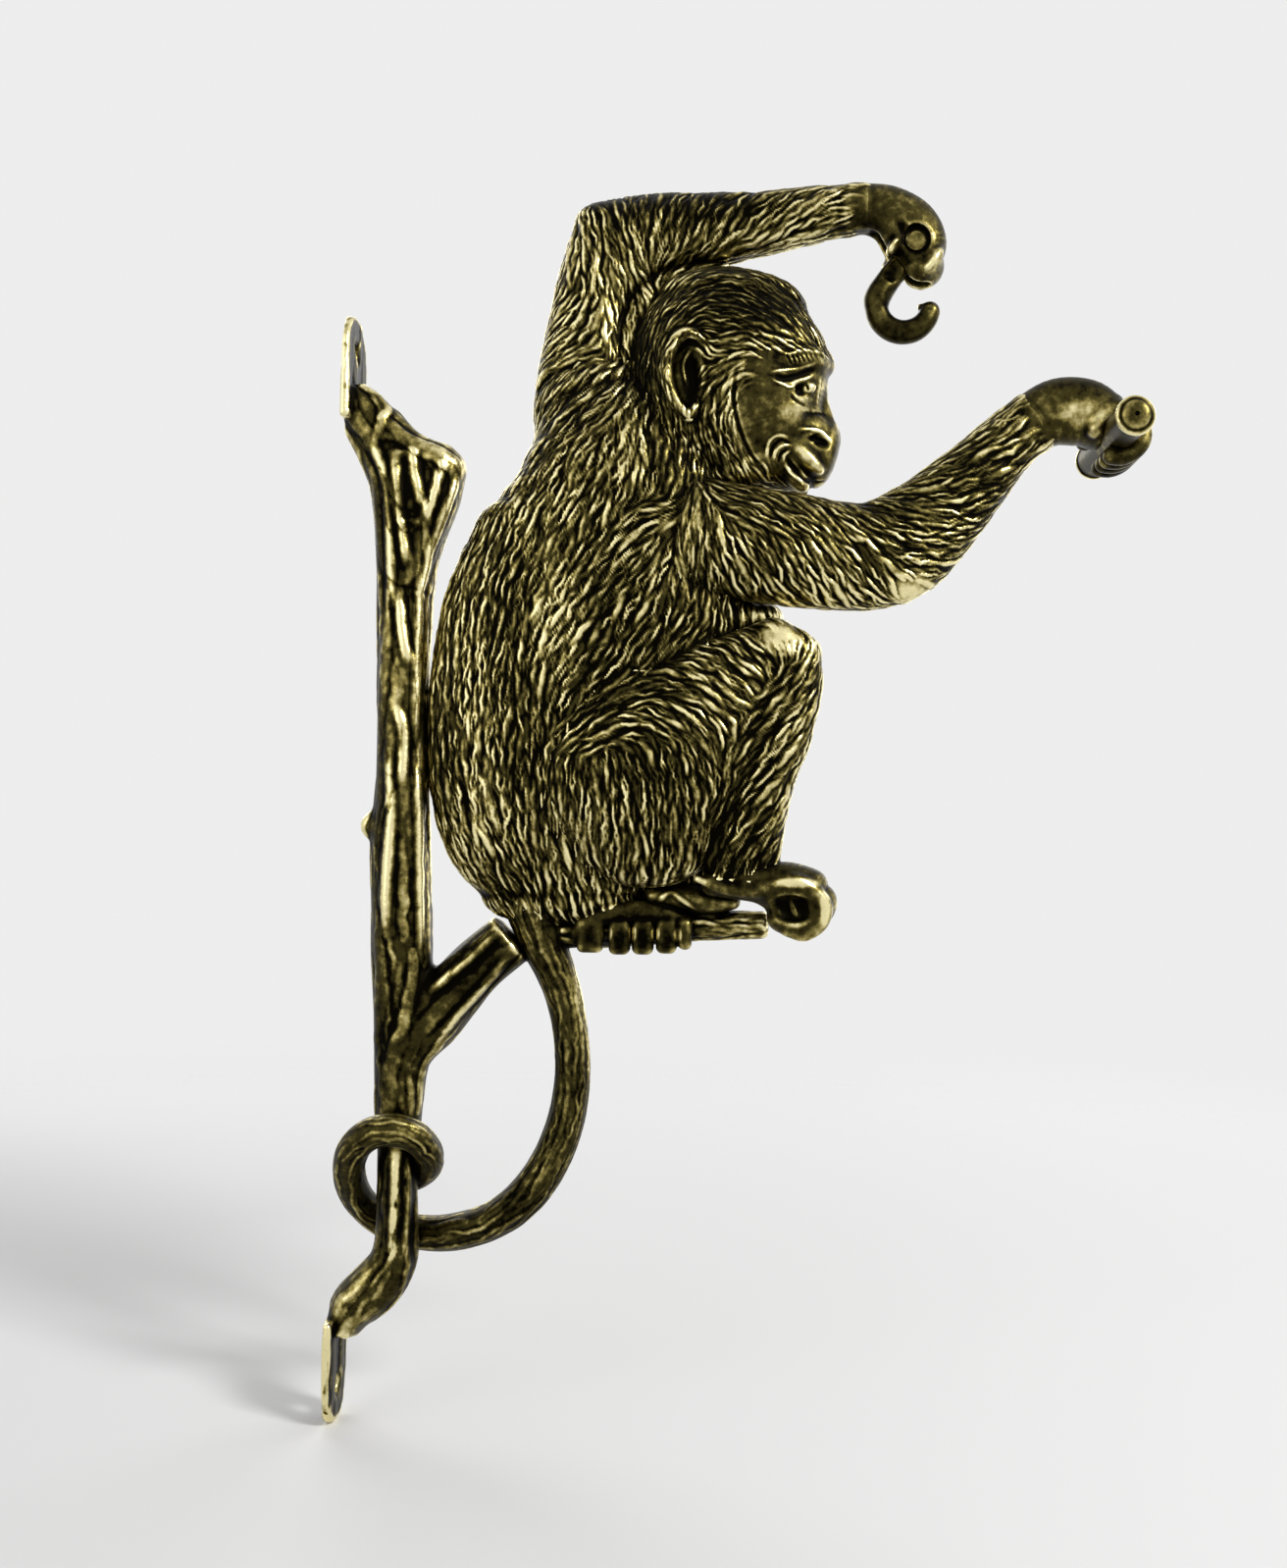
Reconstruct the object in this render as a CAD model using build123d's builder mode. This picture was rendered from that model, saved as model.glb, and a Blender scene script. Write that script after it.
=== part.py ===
from build123d import *
from math import acos, asin, atan2, cos, degrees, pi, radians, sin, sqrt
import os

# A wall bracket cast in brass: an ape perched on a bark-covered branch, its tail knotted round the branch.
# +Z is up the wall, +X is out from the wall and +Y is across the bracket, away from the viewer.
# The origin lies on the wall plane, midway between the two screw holes.

# Driving dimensions in millimetres
overall_height = 330.0
body_thickness = 32.0
screw_spacing = 276.0
screw_hole_diameter = 4.4
countersink_diameter = 6.6
ear_width = 19.0
ear_thickness = 2.2
bar_diameter = 9.2
bar_length = 47.0
bar_collar_diameter = 10.4
bar_collar_length = 2.4
bar_end_chamfer = 1.6
finger_diameter = 4.4
finger_pitch = 4.1
toe_diameter = 4.8
toe_bedding = 0.6
finger_bedding = 0.5
hook_wire_diameter = 6.2
hook_throat_diameter = 8.4
hook_eye_diameter = 9.8
hook_eye_thickness = 4.0
hook_flat_reach = 10.4
pin_diameter = 4.4
pin_head_diameter = 5.4
pin_head_height = 1.2
pin_head_chamfer = 0.7
pin_seat_diameter = 9.0
pin_seat_depth = 1.7
pin_running_clearance = 0.06
slot_side_clearance = 0.3
slot_end_clearance = 0.9

# The swing of the hook either side of its place at rest, in degrees
swing_to_wall = 20.0
swing_from_wall = 25.0

# How the fingers close round the cross bar and the toes round the twig, in degrees
finger_start_angle = 170.0
finger_end_angle = -105.0
toe_start_angle = 90.0
toe_end_angle = 225.0
finger_count = 4
toe_count = 5
wrap_steps = 6
bend_steps = 10

# The side view, in pixels: x to the right and y down
figure_top_px = 190
figure_foot_px = 1445
upper_screw_px = (357, 360)
lower_screw_px = (336, 1410)
upper_ear_root_px = (352, 432)
lower_ear_root_px = (345, 1338)
hook_pin_px = (931, 254)
hook_throat_px = (921, 311)
hook_tip_px = (950, 319)
bar_middle_px = (1135, 448)

mm_per_px = overall_height / (figure_foot_px - figure_top_px)
half_thickness = body_thickness / 2
wall_lean = atan2(upper_screw_px[0] - lower_screw_px[0], lower_screw_px[1] - upper_screw_px[1])
origin_px = (
    (upper_screw_px[0] + lower_screw_px[0]) / 2,
    (upper_screw_px[1] + lower_screw_px[1]) / 2,
)

# Rounding of a limb's end: how far out a ring stands, as a share of the dome's reach
dome_shares = (0.5, 0.88)

# Each row of the tables below is one oval section of a limb, from its root to its tip:
# the pixel of its middle, half its width in pixels in the side view, and, as shares of half the
# body's thickness, its half depth and how far its middle stands towards the far side.
stem_px_and_shares = (
    (350, 1352, 17, 0.42, 0.0),
    (362, 1330, 25, 0.46, 0.0),
    (386, 1308, 27, 0.44, 0.0),
    (402, 1282, 23, 0.38, 0.0),
    (405, 1245, 20, 0.34, 0.0),
    (405, 1190, 20, 0.33, 0.0),
    (406, 1135, 24, 0.36, 0.0),
    (408, 1080, 27, 0.42, 0.0),
    (411, 1020, 29, 0.46, 0.0),
    (410, 950, 31, 0.48, 0.0),
    (408, 880, 30, 0.46, 0.0),
    (410, 800, 27, 0.44, 0.0),
    (411, 700, 26, 0.43, 0.0),
    (413, 600, 27, 0.44, 0.0),
    (410, 540, 26, 0.45, 0.0),
    (404, 490, 27, 0.46, 0.0),
    (390, 452, 29, 0.48, 0.0),
    (373, 424, 27, 0.50, 0.0),
    (362, 408, 20, 0.46, 0.0),
)
crown_px_and_shares = (
    (420, 600, 18, 0.34, 0.0),
    (428, 556, 22, 0.40, 0.0),
    (440, 514, 27, 0.44, 0.0),
    (450, 480, 25, 0.40, 0.0),
)
crown_web_px_and_shares = (
    (392, 440, 25, 0.40, 0.0),
    (415, 458, 21, 0.40, 0.0),
    (440, 470, 20, 0.38, 0.0),
    (452, 474, 19, 0.36, 0.0),
)
bark_knot_px_and_shares = (
    (400, 843, 20, 0.30, 0.0),
    (388, 842, 17, 0.26, 0.0),
    (381, 841, 13, 0.20, 0.0),
)
stub_px_and_shares = (
    (412, 1070, 26, 0.36, 0.0),
    (434, 1042, 32, 0.42, 0.0),
    (462, 1010, 30, 0.42, 0.0),
    (490, 981, 28, 0.40, 0.0),
    (519, 957, 28, 0.38, 0.0),
)
torso_px_and_shares = (
    (603, 405, 52, 0.55, 0.05),
    (617, 445, 84, 0.74, 0.0),
    (627, 485, 113, 0.86, 0.0),
    (630, 530, 134, 0.92, 0.0),
    (620, 590, 147, 0.94, 0.0),
    (602, 650, 153, 0.92, 0.0),
    (588, 715, 150, 0.87, 0.0),
    (580, 780, 144, 0.81, 0.0),
    (576, 835, 133, 0.75, 0.0),
    (574, 880, 112, 0.66, 0.0),
    (574, 912, 82, 0.50, 0.0),
)
belly_fold_px_and_shares = (
    (715, 640, 24, 0.42, 0.0),
    (750, 633, 20, 0.38, 0.0),
    (783, 631, 14, 0.34, 0.0),
)
skull_px_and_shares = (
    (746, 312, 76, 0.80, 0.0),
    (744, 342, 93, 0.94, 0.0),
    (744, 377, 100, 1.0, 0.0),
    (744, 412, 96, 0.96, 0.0),
    (748, 447, 87, 0.85, 0.0),
    (759, 476, 68, 0.65, 0.0),
)
muzzle_px_and_shares = (
    (785, 452, 46, 0.64, 0.0),
    (815, 458, 43, 0.54, 0.0),
    (838, 465, 33, 0.42, 0.0),
)
brow_px_and_shares = (
    (822, 373, 9, 0.12, -0.62),
    (842, 369, 10, 0.14, 0.0),
    (822, 373, 9, 0.12, 0.62),
)
nose_px_and_shares = (
    (836, 395, 9, 0.15, 0.0),
    (841, 420, 9, 0.17, 0.0),
    (846, 443, 9, 0.21, 0.0),
    (846, 454, 8, 0.22, 0.0),
)
head_ear_middle_px = (697, 382)
head_ear_radii_px = (20, 43)
ear_root_share = 0.84
ear_rim_share = 1.1
ear_hollow_share = 0.6
raised_arm_px_and_shares = (
    (612, 470, 64, 0.60, 0.12),
    (600, 420, 57, 0.60, 0.18),
    (596, 375, 48, 0.58, 0.22),
    (600, 330, 42, 0.55, 0.24),
    (610, 289, 43, 0.54, 0.24),
    (631, 254, 51, 0.53, 0.21),
    (666, 239, 43, 0.51, 0.18),
    (710, 234, 38, 0.48, 0.14),
    (760, 228, 32, 0.45, 0.10),
    (810, 222, 28, 0.42, 0.05),
    (852, 216, 25, 0.41, 0.0),
    (884, 213, 23, 0.41, 0.0),
)
nape_web_px_and_shares = (
    (742, 276, 8, 0.24, 0.10),
    (712, 279, 10, 0.27, 0.12),
    (688, 287, 15, 0.30, 0.14),
    (667, 302, 20, 0.32, 0.15),
    (652, 327, 22, 0.33, 0.14),
    (646, 357, 20, 0.34, 0.12),
    (648, 392, 18, 0.36, 0.10),
)
raised_hand_px_and_shares = (
    (868, 214, 20, 0.36, 0.0),
    (884, 213, 23, 0.41, 0.0),
    (906, 219, 27, 0.43, 0.0),
    (924, 234, 32, 0.46, 0.0),
    (935, 253, 31, 0.46, 0.0),
    (940, 271, 22, 0.38, 0.0),
)
reaching_arm_px_and_shares = (
    (712, 552, 57, 0.56, -0.45),
    (760, 560, 57, 0.56, -0.44),
    (808, 566, 56, 0.54, -0.38),
    (852, 571, 54, 0.52, -0.31),
    (888, 570, 53, 0.50, -0.26),
    (916, 559, 54, 0.49, -0.22),
    (946, 535, 48, 0.46, -0.17),
    (977, 504, 41, 0.43, -0.12),
    (1005, 475, 35, 0.41, -0.07),
    (1030, 449, 31, 0.40, -0.03),
    (1054, 430, 30, 0.40, 0.0),
)
palm_px_and_shares = (
    (1040, 440, 27, 0.36, 0.0),
    (1054, 430, 30, 0.40, 0.0),
    (1078, 420, 33, 0.44, 0.0),
    (1104, 421, 33, 0.48, 0.0),
    (1124, 430, 29, 0.50, 0.0),
)
thigh_px_and_shares = (
    (655, 795, 108, 0.64, 0.46),
    (700, 752, 90, 0.60, 0.47),
    (742, 710, 62, 0.51, 0.47),
    (776, 681, 42, 0.43, 0.45),
    (796, 665, 33, 0.38, 0.45),
)
near_shin_px_and_shares = (
    (800, 670, 35, 0.40, 0.45),
    (797, 705, 38, 0.42, 0.45),
    (788, 750, 37, 0.42, 0.46),
    (773, 795, 35, 0.40, 0.46),
    (761, 840, 37, 0.38, 0.46),
    (755, 876, 38, 0.35, 0.46),
    (752, 896, 34, 0.32, 0.46),
)
far_shin_px_and_shares = (
    (798, 670, 35, 0.40, 0.45),
    (790, 708, 37, 0.42, 0.47),
    (771, 755, 37, 0.42, 0.48),
    (747, 803, 36, 0.40, 0.48),
    (722, 850, 32, 0.36, 0.46),
    (703, 888, 26, 0.32, 0.42),
    (696, 912, 22, 0.28, 0.36),
)
near_foot_px_and_shares = (
    (729, 899, 14, 0.32, -0.46),
    (750, 899, 17, 0.38, -0.46),
    (775, 900, 21, 0.43, -0.46),
    (798, 906, 29, 0.47, -0.45),
    (817, 917, 34, 0.46, -0.43),
    (827, 924, 27, 0.36, -0.42),
)
far_foot_px_and_shares = (
    (712, 922, 11, 0.24, 0.28),
    (694, 925, 13, 0.32, 0.20),
    (660, 929, 14, 0.38, 0.12),
    (625, 933, 14, 0.38, 0.10),
    (590, 937, 12, 0.32, 0.08),
)
heel_px_and_shares = (
    (668, 913, 12, 0.34, -0.04),
    (700, 916, 14, 0.36, -0.08),
    (728, 919, 12, 0.32, -0.12),
    (746, 918, 9, 0.26, -0.15),
)
toe_line_px = ((599, 950), (693, 946))
twig_px_and_shares = (
    (575, 951, 15, 0.24, 0.0),
    (640, 949, 15, 0.24, 0.0),
    (715, 943, 15, 0.24, 0.0),
    (779, 943, 14, 0.22, 0.0),
)
tail_px_and_shares = (
    (545, 925, 30, 0.48, 0.0),
    (553, 958, 24, 0.38, 0.0),
    (566, 990, 20, 0.33, 0.0),
    (577, 1025, 18.5, 0.30, 0.0),
    (583, 1065, 18, 0.29, 0.0),
    (583, 1105, 18.5, 0.29, 0.0),
    (576, 1145, 19.5, 0.30, 0.0),
    (561, 1183, 20, 0.31, 0.0),
    (538, 1217, 20.5, 0.32, 0.03),
    (508, 1242, 20, 0.31, 0.12),
    (474, 1257, 20, 0.30, 0.30),
    (440, 1264, 19, 0.29, 0.49),
    (406, 1262, 18, 0.28, 0.60),
    (379, 1248, 17, 0.27, 0.50),
    (362, 1224, 16, 0.26, 0.22),
    (358, 1196, 16, 0.26, -0.12),
    (366, 1168, 16, 0.26, -0.42),
    (385, 1150, 16.5, 0.26, -0.58),
    (408, 1145, 17, 0.26, -0.61),
    (429, 1153, 16, 0.25, -0.50),
    (439, 1172, 15, 0.24, -0.20),
    (434, 1192, 14, 0.22, 0.18),
    (418, 1206, 13, 0.20, 0.46),
    (400, 1212, 12, 0.18, 0.52),
)


def spot(px, side=0.0):
    """The point of the bracket that a pixel of the side view shows."""
    right = px[0] - origin_px[0]
    down = px[1] - origin_px[1]
    out = (right * cos(wall_lean) + down * sin(wall_lean)) * mm_per_px
    up = (right * sin(wall_lean) - down * cos(wall_lean)) * mm_per_px
    return Vector(out, side, up)


def mirrored(rows):
    """The same limb on the other side of the body."""
    return [(*row[:4], -row[4]) for row in rows]


def dome(plane, size, reach):
    """Shrinking ovals that round off the end of a limb, reach out along its axis."""
    ovals = []
    for share in dome_shares:
        shrink = sqrt(1 - share**2)
        ovals.append((plane.offset(share * reach), (size[0] * shrink, size[1] * shrink)))
    return ovals


def facet(*corners):
    """One flat face through its corners."""
    return Face(Wire.make_polygon(corners))


def skin(ovals, sides):
    """A closed solid of flat facets through ovals, each a plane and its half depth and half width."""
    rings = []
    for plane, (depth, width) in ovals:
        turns = [2 * pi * side / sides for side in range(sides)]
        rings.append([plane.from_local_coords((depth * cos(turn), width * sin(turn))) for turn in turns])
    facets = [facet(*rings[0]), facet(*rings[-1])]
    for ring, further in zip(rings, rings[1:]):
        for side in range(sides):
            beside = (side + 1) % sides
            facets.append(facet(ring[side], ring[beside], further[beside]))
            facets.append(facet(ring[side], further[beside], further[side]))
    return Solid(Shell(facets))


def ovals_along(middles, sizes, round_start, round_end):
    """Ovals square to the line through their middles. A rounded end stands out by that many times
    the smaller radius of the end oval."""
    planes = []
    for index, middle in enumerate(middles):
        behind = middles[max(index - 1, 0)]
        ahead = middles[min(index + 1, len(middles) - 1)]
        along = (ahead - behind).normalized()
        across = Vector(0, 1, 0) - along * along.Y
        if across.length < 0.1:
            across = Vector(1, 0, 0) - along * along.X
        planes.append(Plane(origin=middle, x_dir=across, z_dir=along))
    ovals = list(zip(planes, sizes))
    if round_start:
        ovals = dome(planes[0], sizes[0], -round_start * min(sizes[0]))[::-1] + ovals
    if round_end:
        ovals = ovals + dome(planes[-1], sizes[-1], round_end * min(sizes[-1]))
    return ovals


def limb(rows, round_start=0, round_end=0, sides=16):
    """A limb from a table of oval sections."""
    middles = [spot(row[:2], row[4] * half_thickness) for row in rows]
    sizes = [(row[3] * half_thickness, row[2] * mm_per_px) for row in rows]
    return skin(ovals_along(middles, sizes, round_start, round_end), sides)


def rod(middles, radius, round_end=0, sides=12):
    """A round rod of one thickness through its middles."""
    return skin(ovals_along(middles, [(radius, radius)] * len(middles), 0, round_end), sides)


def arc_points(centre, out, up, start_angle, end_angle, steps):
    """Points on an arc about a centre, where out is at 0 degrees and up is at 90 degrees."""
    points = []
    for step in range(steps + 1):
        turn = radians(start_angle + (end_angle - start_angle) * step / steps)
        points.append(centre + out * cos(turn) + up * sin(turn))
    return points


# Places that several pieces share
upper_screw_at = screw_spacing / 2
lower_screw_at = -screw_spacing / 2
pin_at = spot(hook_pin_px)
throat_at = spot(hook_throat_px)
tip_at = spot(hook_tip_px)
bar_at = spot(bar_middle_px)
pin_plane = Plane(origin=pin_at, x_dir=(1, 0, 0), z_dir=(0, -1, 0))
bar_plane = Plane(origin=bar_at, x_dir=(1, 0, 0), z_dir=(0, -1, 0))

# Torso, from the shoulders to the rump
with BuildPart() as torso:
    add(limb(torso_px_and_shares, round_start=1, round_end=1))
    add(limb(belly_fold_px_and_shares, round_end=1))
torso.part.label = "torso"

# Branch, with the two ears that screw to the wall and the stub that carries the rump
ear_spans = (
    (upper_screw_at, spot(upper_ear_root_px).Z),
    (lower_screw_at, spot(lower_ear_root_px).Z),
)
with BuildPart() as branch:
    add(limb(stem_px_and_shares))
    add(limb(crown_px_and_shares, round_end=1))
    add(limb(crown_web_px_and_shares))
    add(limb(bark_knot_px_and_shares, round_end=1))
    add(limb(stub_px_and_shares))
    split(bisect_by=Plane.YZ, keep=Keep.TOP)
    for screw_at, root_at in ear_spans:
        with BuildSketch(Plane.YZ):
            with Locations((0, (screw_at + root_at) / 2)):
                Rectangle(ear_width, abs(screw_at - root_at))
            with Locations((0, screw_at)):
                Circle(ear_width / 2)
        extrude(amount=ear_thickness)
        with Locations(Plane(origin=(ear_thickness, 0, screw_at), z_dir=(1, 0, 0))):
            CounterSinkHole(screw_hole_diameter / 2, countersink_diameter / 2, depth=ear_thickness)
    add(torso.part, mode=Mode.SUBTRACT)
branch.part.label = "branch"

# Tail, knotted once round the branch
with BuildPart() as tail:
    add(limb(tail_px_and_shares, round_end=1, sides=12))
    add(torso.part, mode=Mode.SUBTRACT)
    add(branch.part, mode=Mode.SUBTRACT)
tail.part.label = "tail"

# Head, with muzzle, brow, nose and hollowed ears
with BuildPart() as head:
    add(limb(skull_px_and_shares, round_start=0.68, round_end=0.7))
    add(limb(muzzle_px_and_shares, round_end=0.6))
    add(limb(brow_px_and_shares, round_start=1, round_end=1, sides=10))
    add(limb(nose_px_and_shares, round_start=1, round_end=1, sides=10))
    ear_size = (head_ear_radii_px[0] * mm_per_px, head_ear_radii_px[1] * mm_per_px)
    hollow_size = (ear_size[0] * ear_hollow_share, ear_size[1] * ear_hollow_share)
    ear_rise = (ear_rim_share - ear_root_share) * half_thickness
    for side in (-1, 1):
        ear_root = Plane(
            origin=spot(head_ear_middle_px, side * ear_root_share * half_thickness),
            x_dir=(1, 0, 0),
            z_dir=(0, side, 0),
        )
        add(skin([(ear_root, ear_size), (ear_root.offset(ear_rise), ear_size)], 16))
        hollow_floor = ear_root.offset(ear_rise * (1 - ear_hollow_share))
        hollow_mouth = ear_root.offset(ear_rise * (1 + ear_hollow_share))
        add(skin([(hollow_floor, hollow_size), (hollow_mouth, hollow_size)], 16), mode=Mode.SUBTRACT)
    add(torso.part, mode=Mode.SUBTRACT)
head.part.label = "head"

# Raised arm, joined to the back of the head by a web
with BuildPart() as raised_arm:
    add(limb(raised_arm_px_and_shares))
    add(limb(nape_web_px_and_shares))
    add(torso.part, mode=Mode.SUBTRACT)
    add(head.part, mode=Mode.SUBTRACT)
raised_arm.part.label = "raised_arm"

# The hook's neck runs from the pin along the tangent to its bend
bend_radius = (hook_throat_diameter + hook_wire_diameter) / 2
to_pin = pin_at - throat_at
neck_angle = degrees(atan2(to_pin.Z, to_pin.X) + acos(bend_radius / to_pin.length))
tip_angle = degrees(atan2(tip_at.Z - throat_at.Z, tip_at.X - throat_at.X)) + 360
bend = arc_points(
    throat_at, Vector(bend_radius, 0, 0), Vector(0, 0, bend_radius), neck_angle, tip_angle, bend_steps
)
neck = bend[0] - pin_at

# The slot in the raised hand is open to the neck over the whole swing
slot_radius = hook_eye_diameter / 2 + slot_end_clearance
slot_half_width = hook_eye_thickness / 2 + slot_side_clearance
neck_heading = degrees(atan2(neck.Z, neck.X))
neck_spread = degrees(asin((hook_wire_diameter / 2 + slot_side_clearance) / slot_radius))
slot_start = neck_heading - swing_to_wall - neck_spread
slot_end = neck_heading + swing_from_wall + neck_spread
slot_reach = neck.length + hook_wire_diameter
slot_mouth = arc_points(
    Vector(0, 0), Vector(slot_reach, 0), Vector(0, slot_reach), slot_start, slot_end, 3
)
cheek_half_depth = raised_hand_px_and_shares[4][3] * half_thickness
seat_at = cheek_half_depth - pin_seat_depth

with BuildPart() as raised_hand:
    add(limb(raised_hand_px_and_shares, round_end=1))
    with BuildSketch(pin_plane):
        Circle(slot_radius)
        Polygon((0, 0), *[(point.X, point.Y) for point in slot_mouth], align=None)
    extrude(amount=slot_half_width, both=True, mode=Mode.SUBTRACT)
    for side in (-1, 1):
        with BuildSketch(pin_plane.offset(side * seat_at)):
            Circle(pin_seat_diameter / 2)
        extrude(amount=side * pin_seat_depth * 2, mode=Mode.SUBTRACT)
    with BuildSketch(pin_plane):
        Circle(pin_diameter / 2)
    extrude(amount=seat_at * 2, both=True, mode=Mode.SUBTRACT)
    add(raised_arm.part, mode=Mode.SUBTRACT)
raised_hand.part.label = "raised_hand"

# Pin, peened over at both ends on the seats in the hand's cheeks
with BuildPart() as hook_pin:
    with BuildSketch(pin_plane):
        Circle(pin_diameter / 2)
    extrude(amount=seat_at, both=True)
    for side in (-1, 1):
        with BuildSketch(pin_plane.offset(side * seat_at)):
            Circle(pin_head_diameter / 2)
        extrude(amount=side * pin_head_height)
    end_faces = faces().filter_by(Axis.Y).sort_by(Axis.Y)
    chamfer([end_faces[0].edges(), end_faces[-1].edges()], pin_head_chamfer)
hook_pin.part.label = "hook_pin"

# Swinging hook, flattened round its eye to fit the slot
with BuildPart() as hook:
    add(rod([pin_at, pin_at + neck / 2, *bend], hook_wire_diameter / 2, round_end=1))
    for side in (-1, 1):
        with BuildSketch(pin_plane.offset(side * hook_eye_thickness / 2)):
            Circle(hook_flat_reach)
        extrude(amount=side * hook_wire_diameter, mode=Mode.SUBTRACT)
    with BuildSketch(pin_plane):
        Circle(hook_eye_diameter / 2)
    extrude(amount=hook_eye_thickness / 2, both=True)
    with BuildSketch(pin_plane):
        Circle(pin_diameter / 2 + pin_running_clearance)
    extrude(amount=hook_wire_diameter, both=True, mode=Mode.SUBTRACT)
hook.part.label = "hook"

# Cross bar with a collar at each end
with BuildPart() as cross_bar:
    with BuildSketch(bar_plane):
        Circle(bar_diameter / 2)
    extrude(amount=bar_length / 2, both=True)
    for side in (-1, 1):
        with BuildSketch(bar_plane.offset(side * (bar_length / 2 - bar_collar_length))):
            Circle(bar_collar_diameter / 2)
        extrude(amount=side * bar_collar_length)
    end_faces = faces().filter_by(Axis.Y).sort_by(Axis.Y)
    chamfer([end_faces[0].edges(), end_faces[-1].edges()], bar_end_chamfer)
cross_bar.part.label = "cross_bar"

# Reaching arm, and its hand with the fingers closed round the cross bar
with BuildPart() as reaching_arm:
    add(limb(reaching_arm_px_and_shares))
    add(torso.part, mode=Mode.SUBTRACT)
    add(head.part, mode=Mode.SUBTRACT)
reaching_arm.part.label = "reaching_arm"

finger_reach = (bar_diameter + finger_diameter) / 2 - finger_bedding
with BuildPart() as reaching_hand:
    add(limb(palm_px_and_shares, round_end=0.5))
    for finger in range(finger_count):
        knuckle = bar_at + Vector(0, (finger - (finger_count - 1) / 2) * finger_pitch, 0)
        curl = arc_points(
            knuckle,
            Vector(finger_reach, 0, 0),
            Vector(0, 0, finger_reach),
            finger_start_angle,
            finger_end_angle,
            wrap_steps,
        )
        add(rod(curl, finger_diameter / 2, round_end=1, sides=8))
    add(cross_bar.part, mode=Mode.SUBTRACT)
    add(reaching_arm.part, mode=Mode.SUBTRACT)
reaching_hand.part.label = "reaching_hand"

# Legs, folded up against the belly
with BuildPart() as near_leg:
    add(limb(mirrored(thigh_px_and_shares), round_start=2.6, round_end=1))
    add(limb(mirrored(near_shin_px_and_shares), round_start=1))
    add(torso.part, mode=Mode.SUBTRACT)
    add(reaching_arm.part, mode=Mode.SUBTRACT)
near_leg.part.label = "near_leg"

with BuildPart() as far_leg:
    add(limb(thigh_px_and_shares, round_start=2.6, round_end=1))
    add(limb(far_shin_px_and_shares, round_start=1))
    add(torso.part, mode=Mode.SUBTRACT)
    add(near_leg.part, mode=Mode.SUBTRACT)
    add(reaching_arm.part, mode=Mode.SUBTRACT)
far_leg.part.label = "far_leg"

# Twig under the feet
with BuildPart() as perch_twig:
    add(limb(twig_px_and_shares, sides=10))
    add(torso.part, mode=Mode.SUBTRACT)
    add(tail.part, mode=Mode.SUBTRACT)
    add(far_leg.part, mode=Mode.SUBTRACT)
perch_twig.part.label = "perch_twig"

# Near foot, resting on the end of the twig
with BuildPart() as near_foot:
    add(limb(near_foot_px_and_shares, round_start=1, round_end=1))
    add(near_leg.part, mode=Mode.SUBTRACT)
    add(perch_twig.part, mode=Mode.SUBTRACT)
near_foot.part.label = "near_foot"

# Far foot, its toes curled over the twig to the near side
first_toe, last_toe = (spot(px) for px in toe_line_px)
twig_radius = twig_px_and_shares[1][2] * mm_per_px
toe_reach = twig_radius + toe_diameter / 2 - toe_bedding
with BuildPart() as far_foot:
    add(limb(far_foot_px_and_shares, round_start=1, round_end=1))
    add(limb(heel_px_and_shares, round_start=1, round_end=1))
    for toe in range(toe_count):
        toe_root = first_toe + (last_toe - first_toe) * toe / (toe_count - 1)
        curl = arc_points(
            toe_root,
            Vector(0, toe_reach, 0),
            Vector(0, 0, toe_reach),
            toe_start_angle,
            toe_end_angle,
            wrap_steps,
        )
        add(rod(curl, toe_diameter / 2, round_end=1, sides=8))
    add(torso.part, mode=Mode.SUBTRACT)
    add(near_leg.part, mode=Mode.SUBTRACT)
    add(far_leg.part, mode=Mode.SUBTRACT)
    add(perch_twig.part, mode=Mode.SUBTRACT)
    add(near_foot.part, mode=Mode.SUBTRACT)
far_foot.part.label = "far_foot"

os.makedirs("parts", exist_ok=True)
for node in (
    branch, torso, head, raised_arm, raised_hand, hook_pin, hook, reaching_arm, reaching_hand,
    cross_bar, near_leg, near_foot, far_leg, far_foot, perch_twig, tail,
):
    export_step(node.part, f"parts/{node.part.label}.step")
    print(node.part.label, node.part.is_valid, len(node.part.solids()), round(node.part.volume))
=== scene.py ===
"""A cast brass wall bracket: an ape on a bark-covered branch, with a swinging hook and a cross bar."""
import math
import bpy
import numpy as np
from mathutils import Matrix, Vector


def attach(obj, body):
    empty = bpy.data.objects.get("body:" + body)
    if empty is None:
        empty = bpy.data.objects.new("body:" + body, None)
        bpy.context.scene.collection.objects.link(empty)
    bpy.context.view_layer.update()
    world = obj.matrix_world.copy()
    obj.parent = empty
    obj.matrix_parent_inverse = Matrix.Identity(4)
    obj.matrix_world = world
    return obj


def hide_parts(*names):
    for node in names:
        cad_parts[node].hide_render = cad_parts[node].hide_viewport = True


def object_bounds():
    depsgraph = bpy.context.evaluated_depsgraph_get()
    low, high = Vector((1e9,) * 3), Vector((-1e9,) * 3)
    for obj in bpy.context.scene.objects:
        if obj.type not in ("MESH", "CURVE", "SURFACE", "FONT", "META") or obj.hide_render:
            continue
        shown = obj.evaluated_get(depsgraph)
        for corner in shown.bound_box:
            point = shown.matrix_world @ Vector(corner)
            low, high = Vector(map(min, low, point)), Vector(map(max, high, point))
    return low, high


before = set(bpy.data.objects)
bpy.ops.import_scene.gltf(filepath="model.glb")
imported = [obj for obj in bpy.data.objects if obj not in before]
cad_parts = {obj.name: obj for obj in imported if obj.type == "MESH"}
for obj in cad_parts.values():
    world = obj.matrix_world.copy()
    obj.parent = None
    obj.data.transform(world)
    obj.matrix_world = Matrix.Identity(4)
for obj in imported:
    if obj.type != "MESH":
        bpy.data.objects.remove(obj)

import openvdb
from mathutils import Matrix, Vector

bl_info = {
    "name": "Ape Bracket",
    "version": (1, 0, 0),
    "blender": (4, 5, 0),
    "location": "View3D > Sidebar > Bracket",
    "description": "Carves, finishes and lights a cast brass ape bracket on its packed frame",
    "category": "Object",
}

CAD_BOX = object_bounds()

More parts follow.
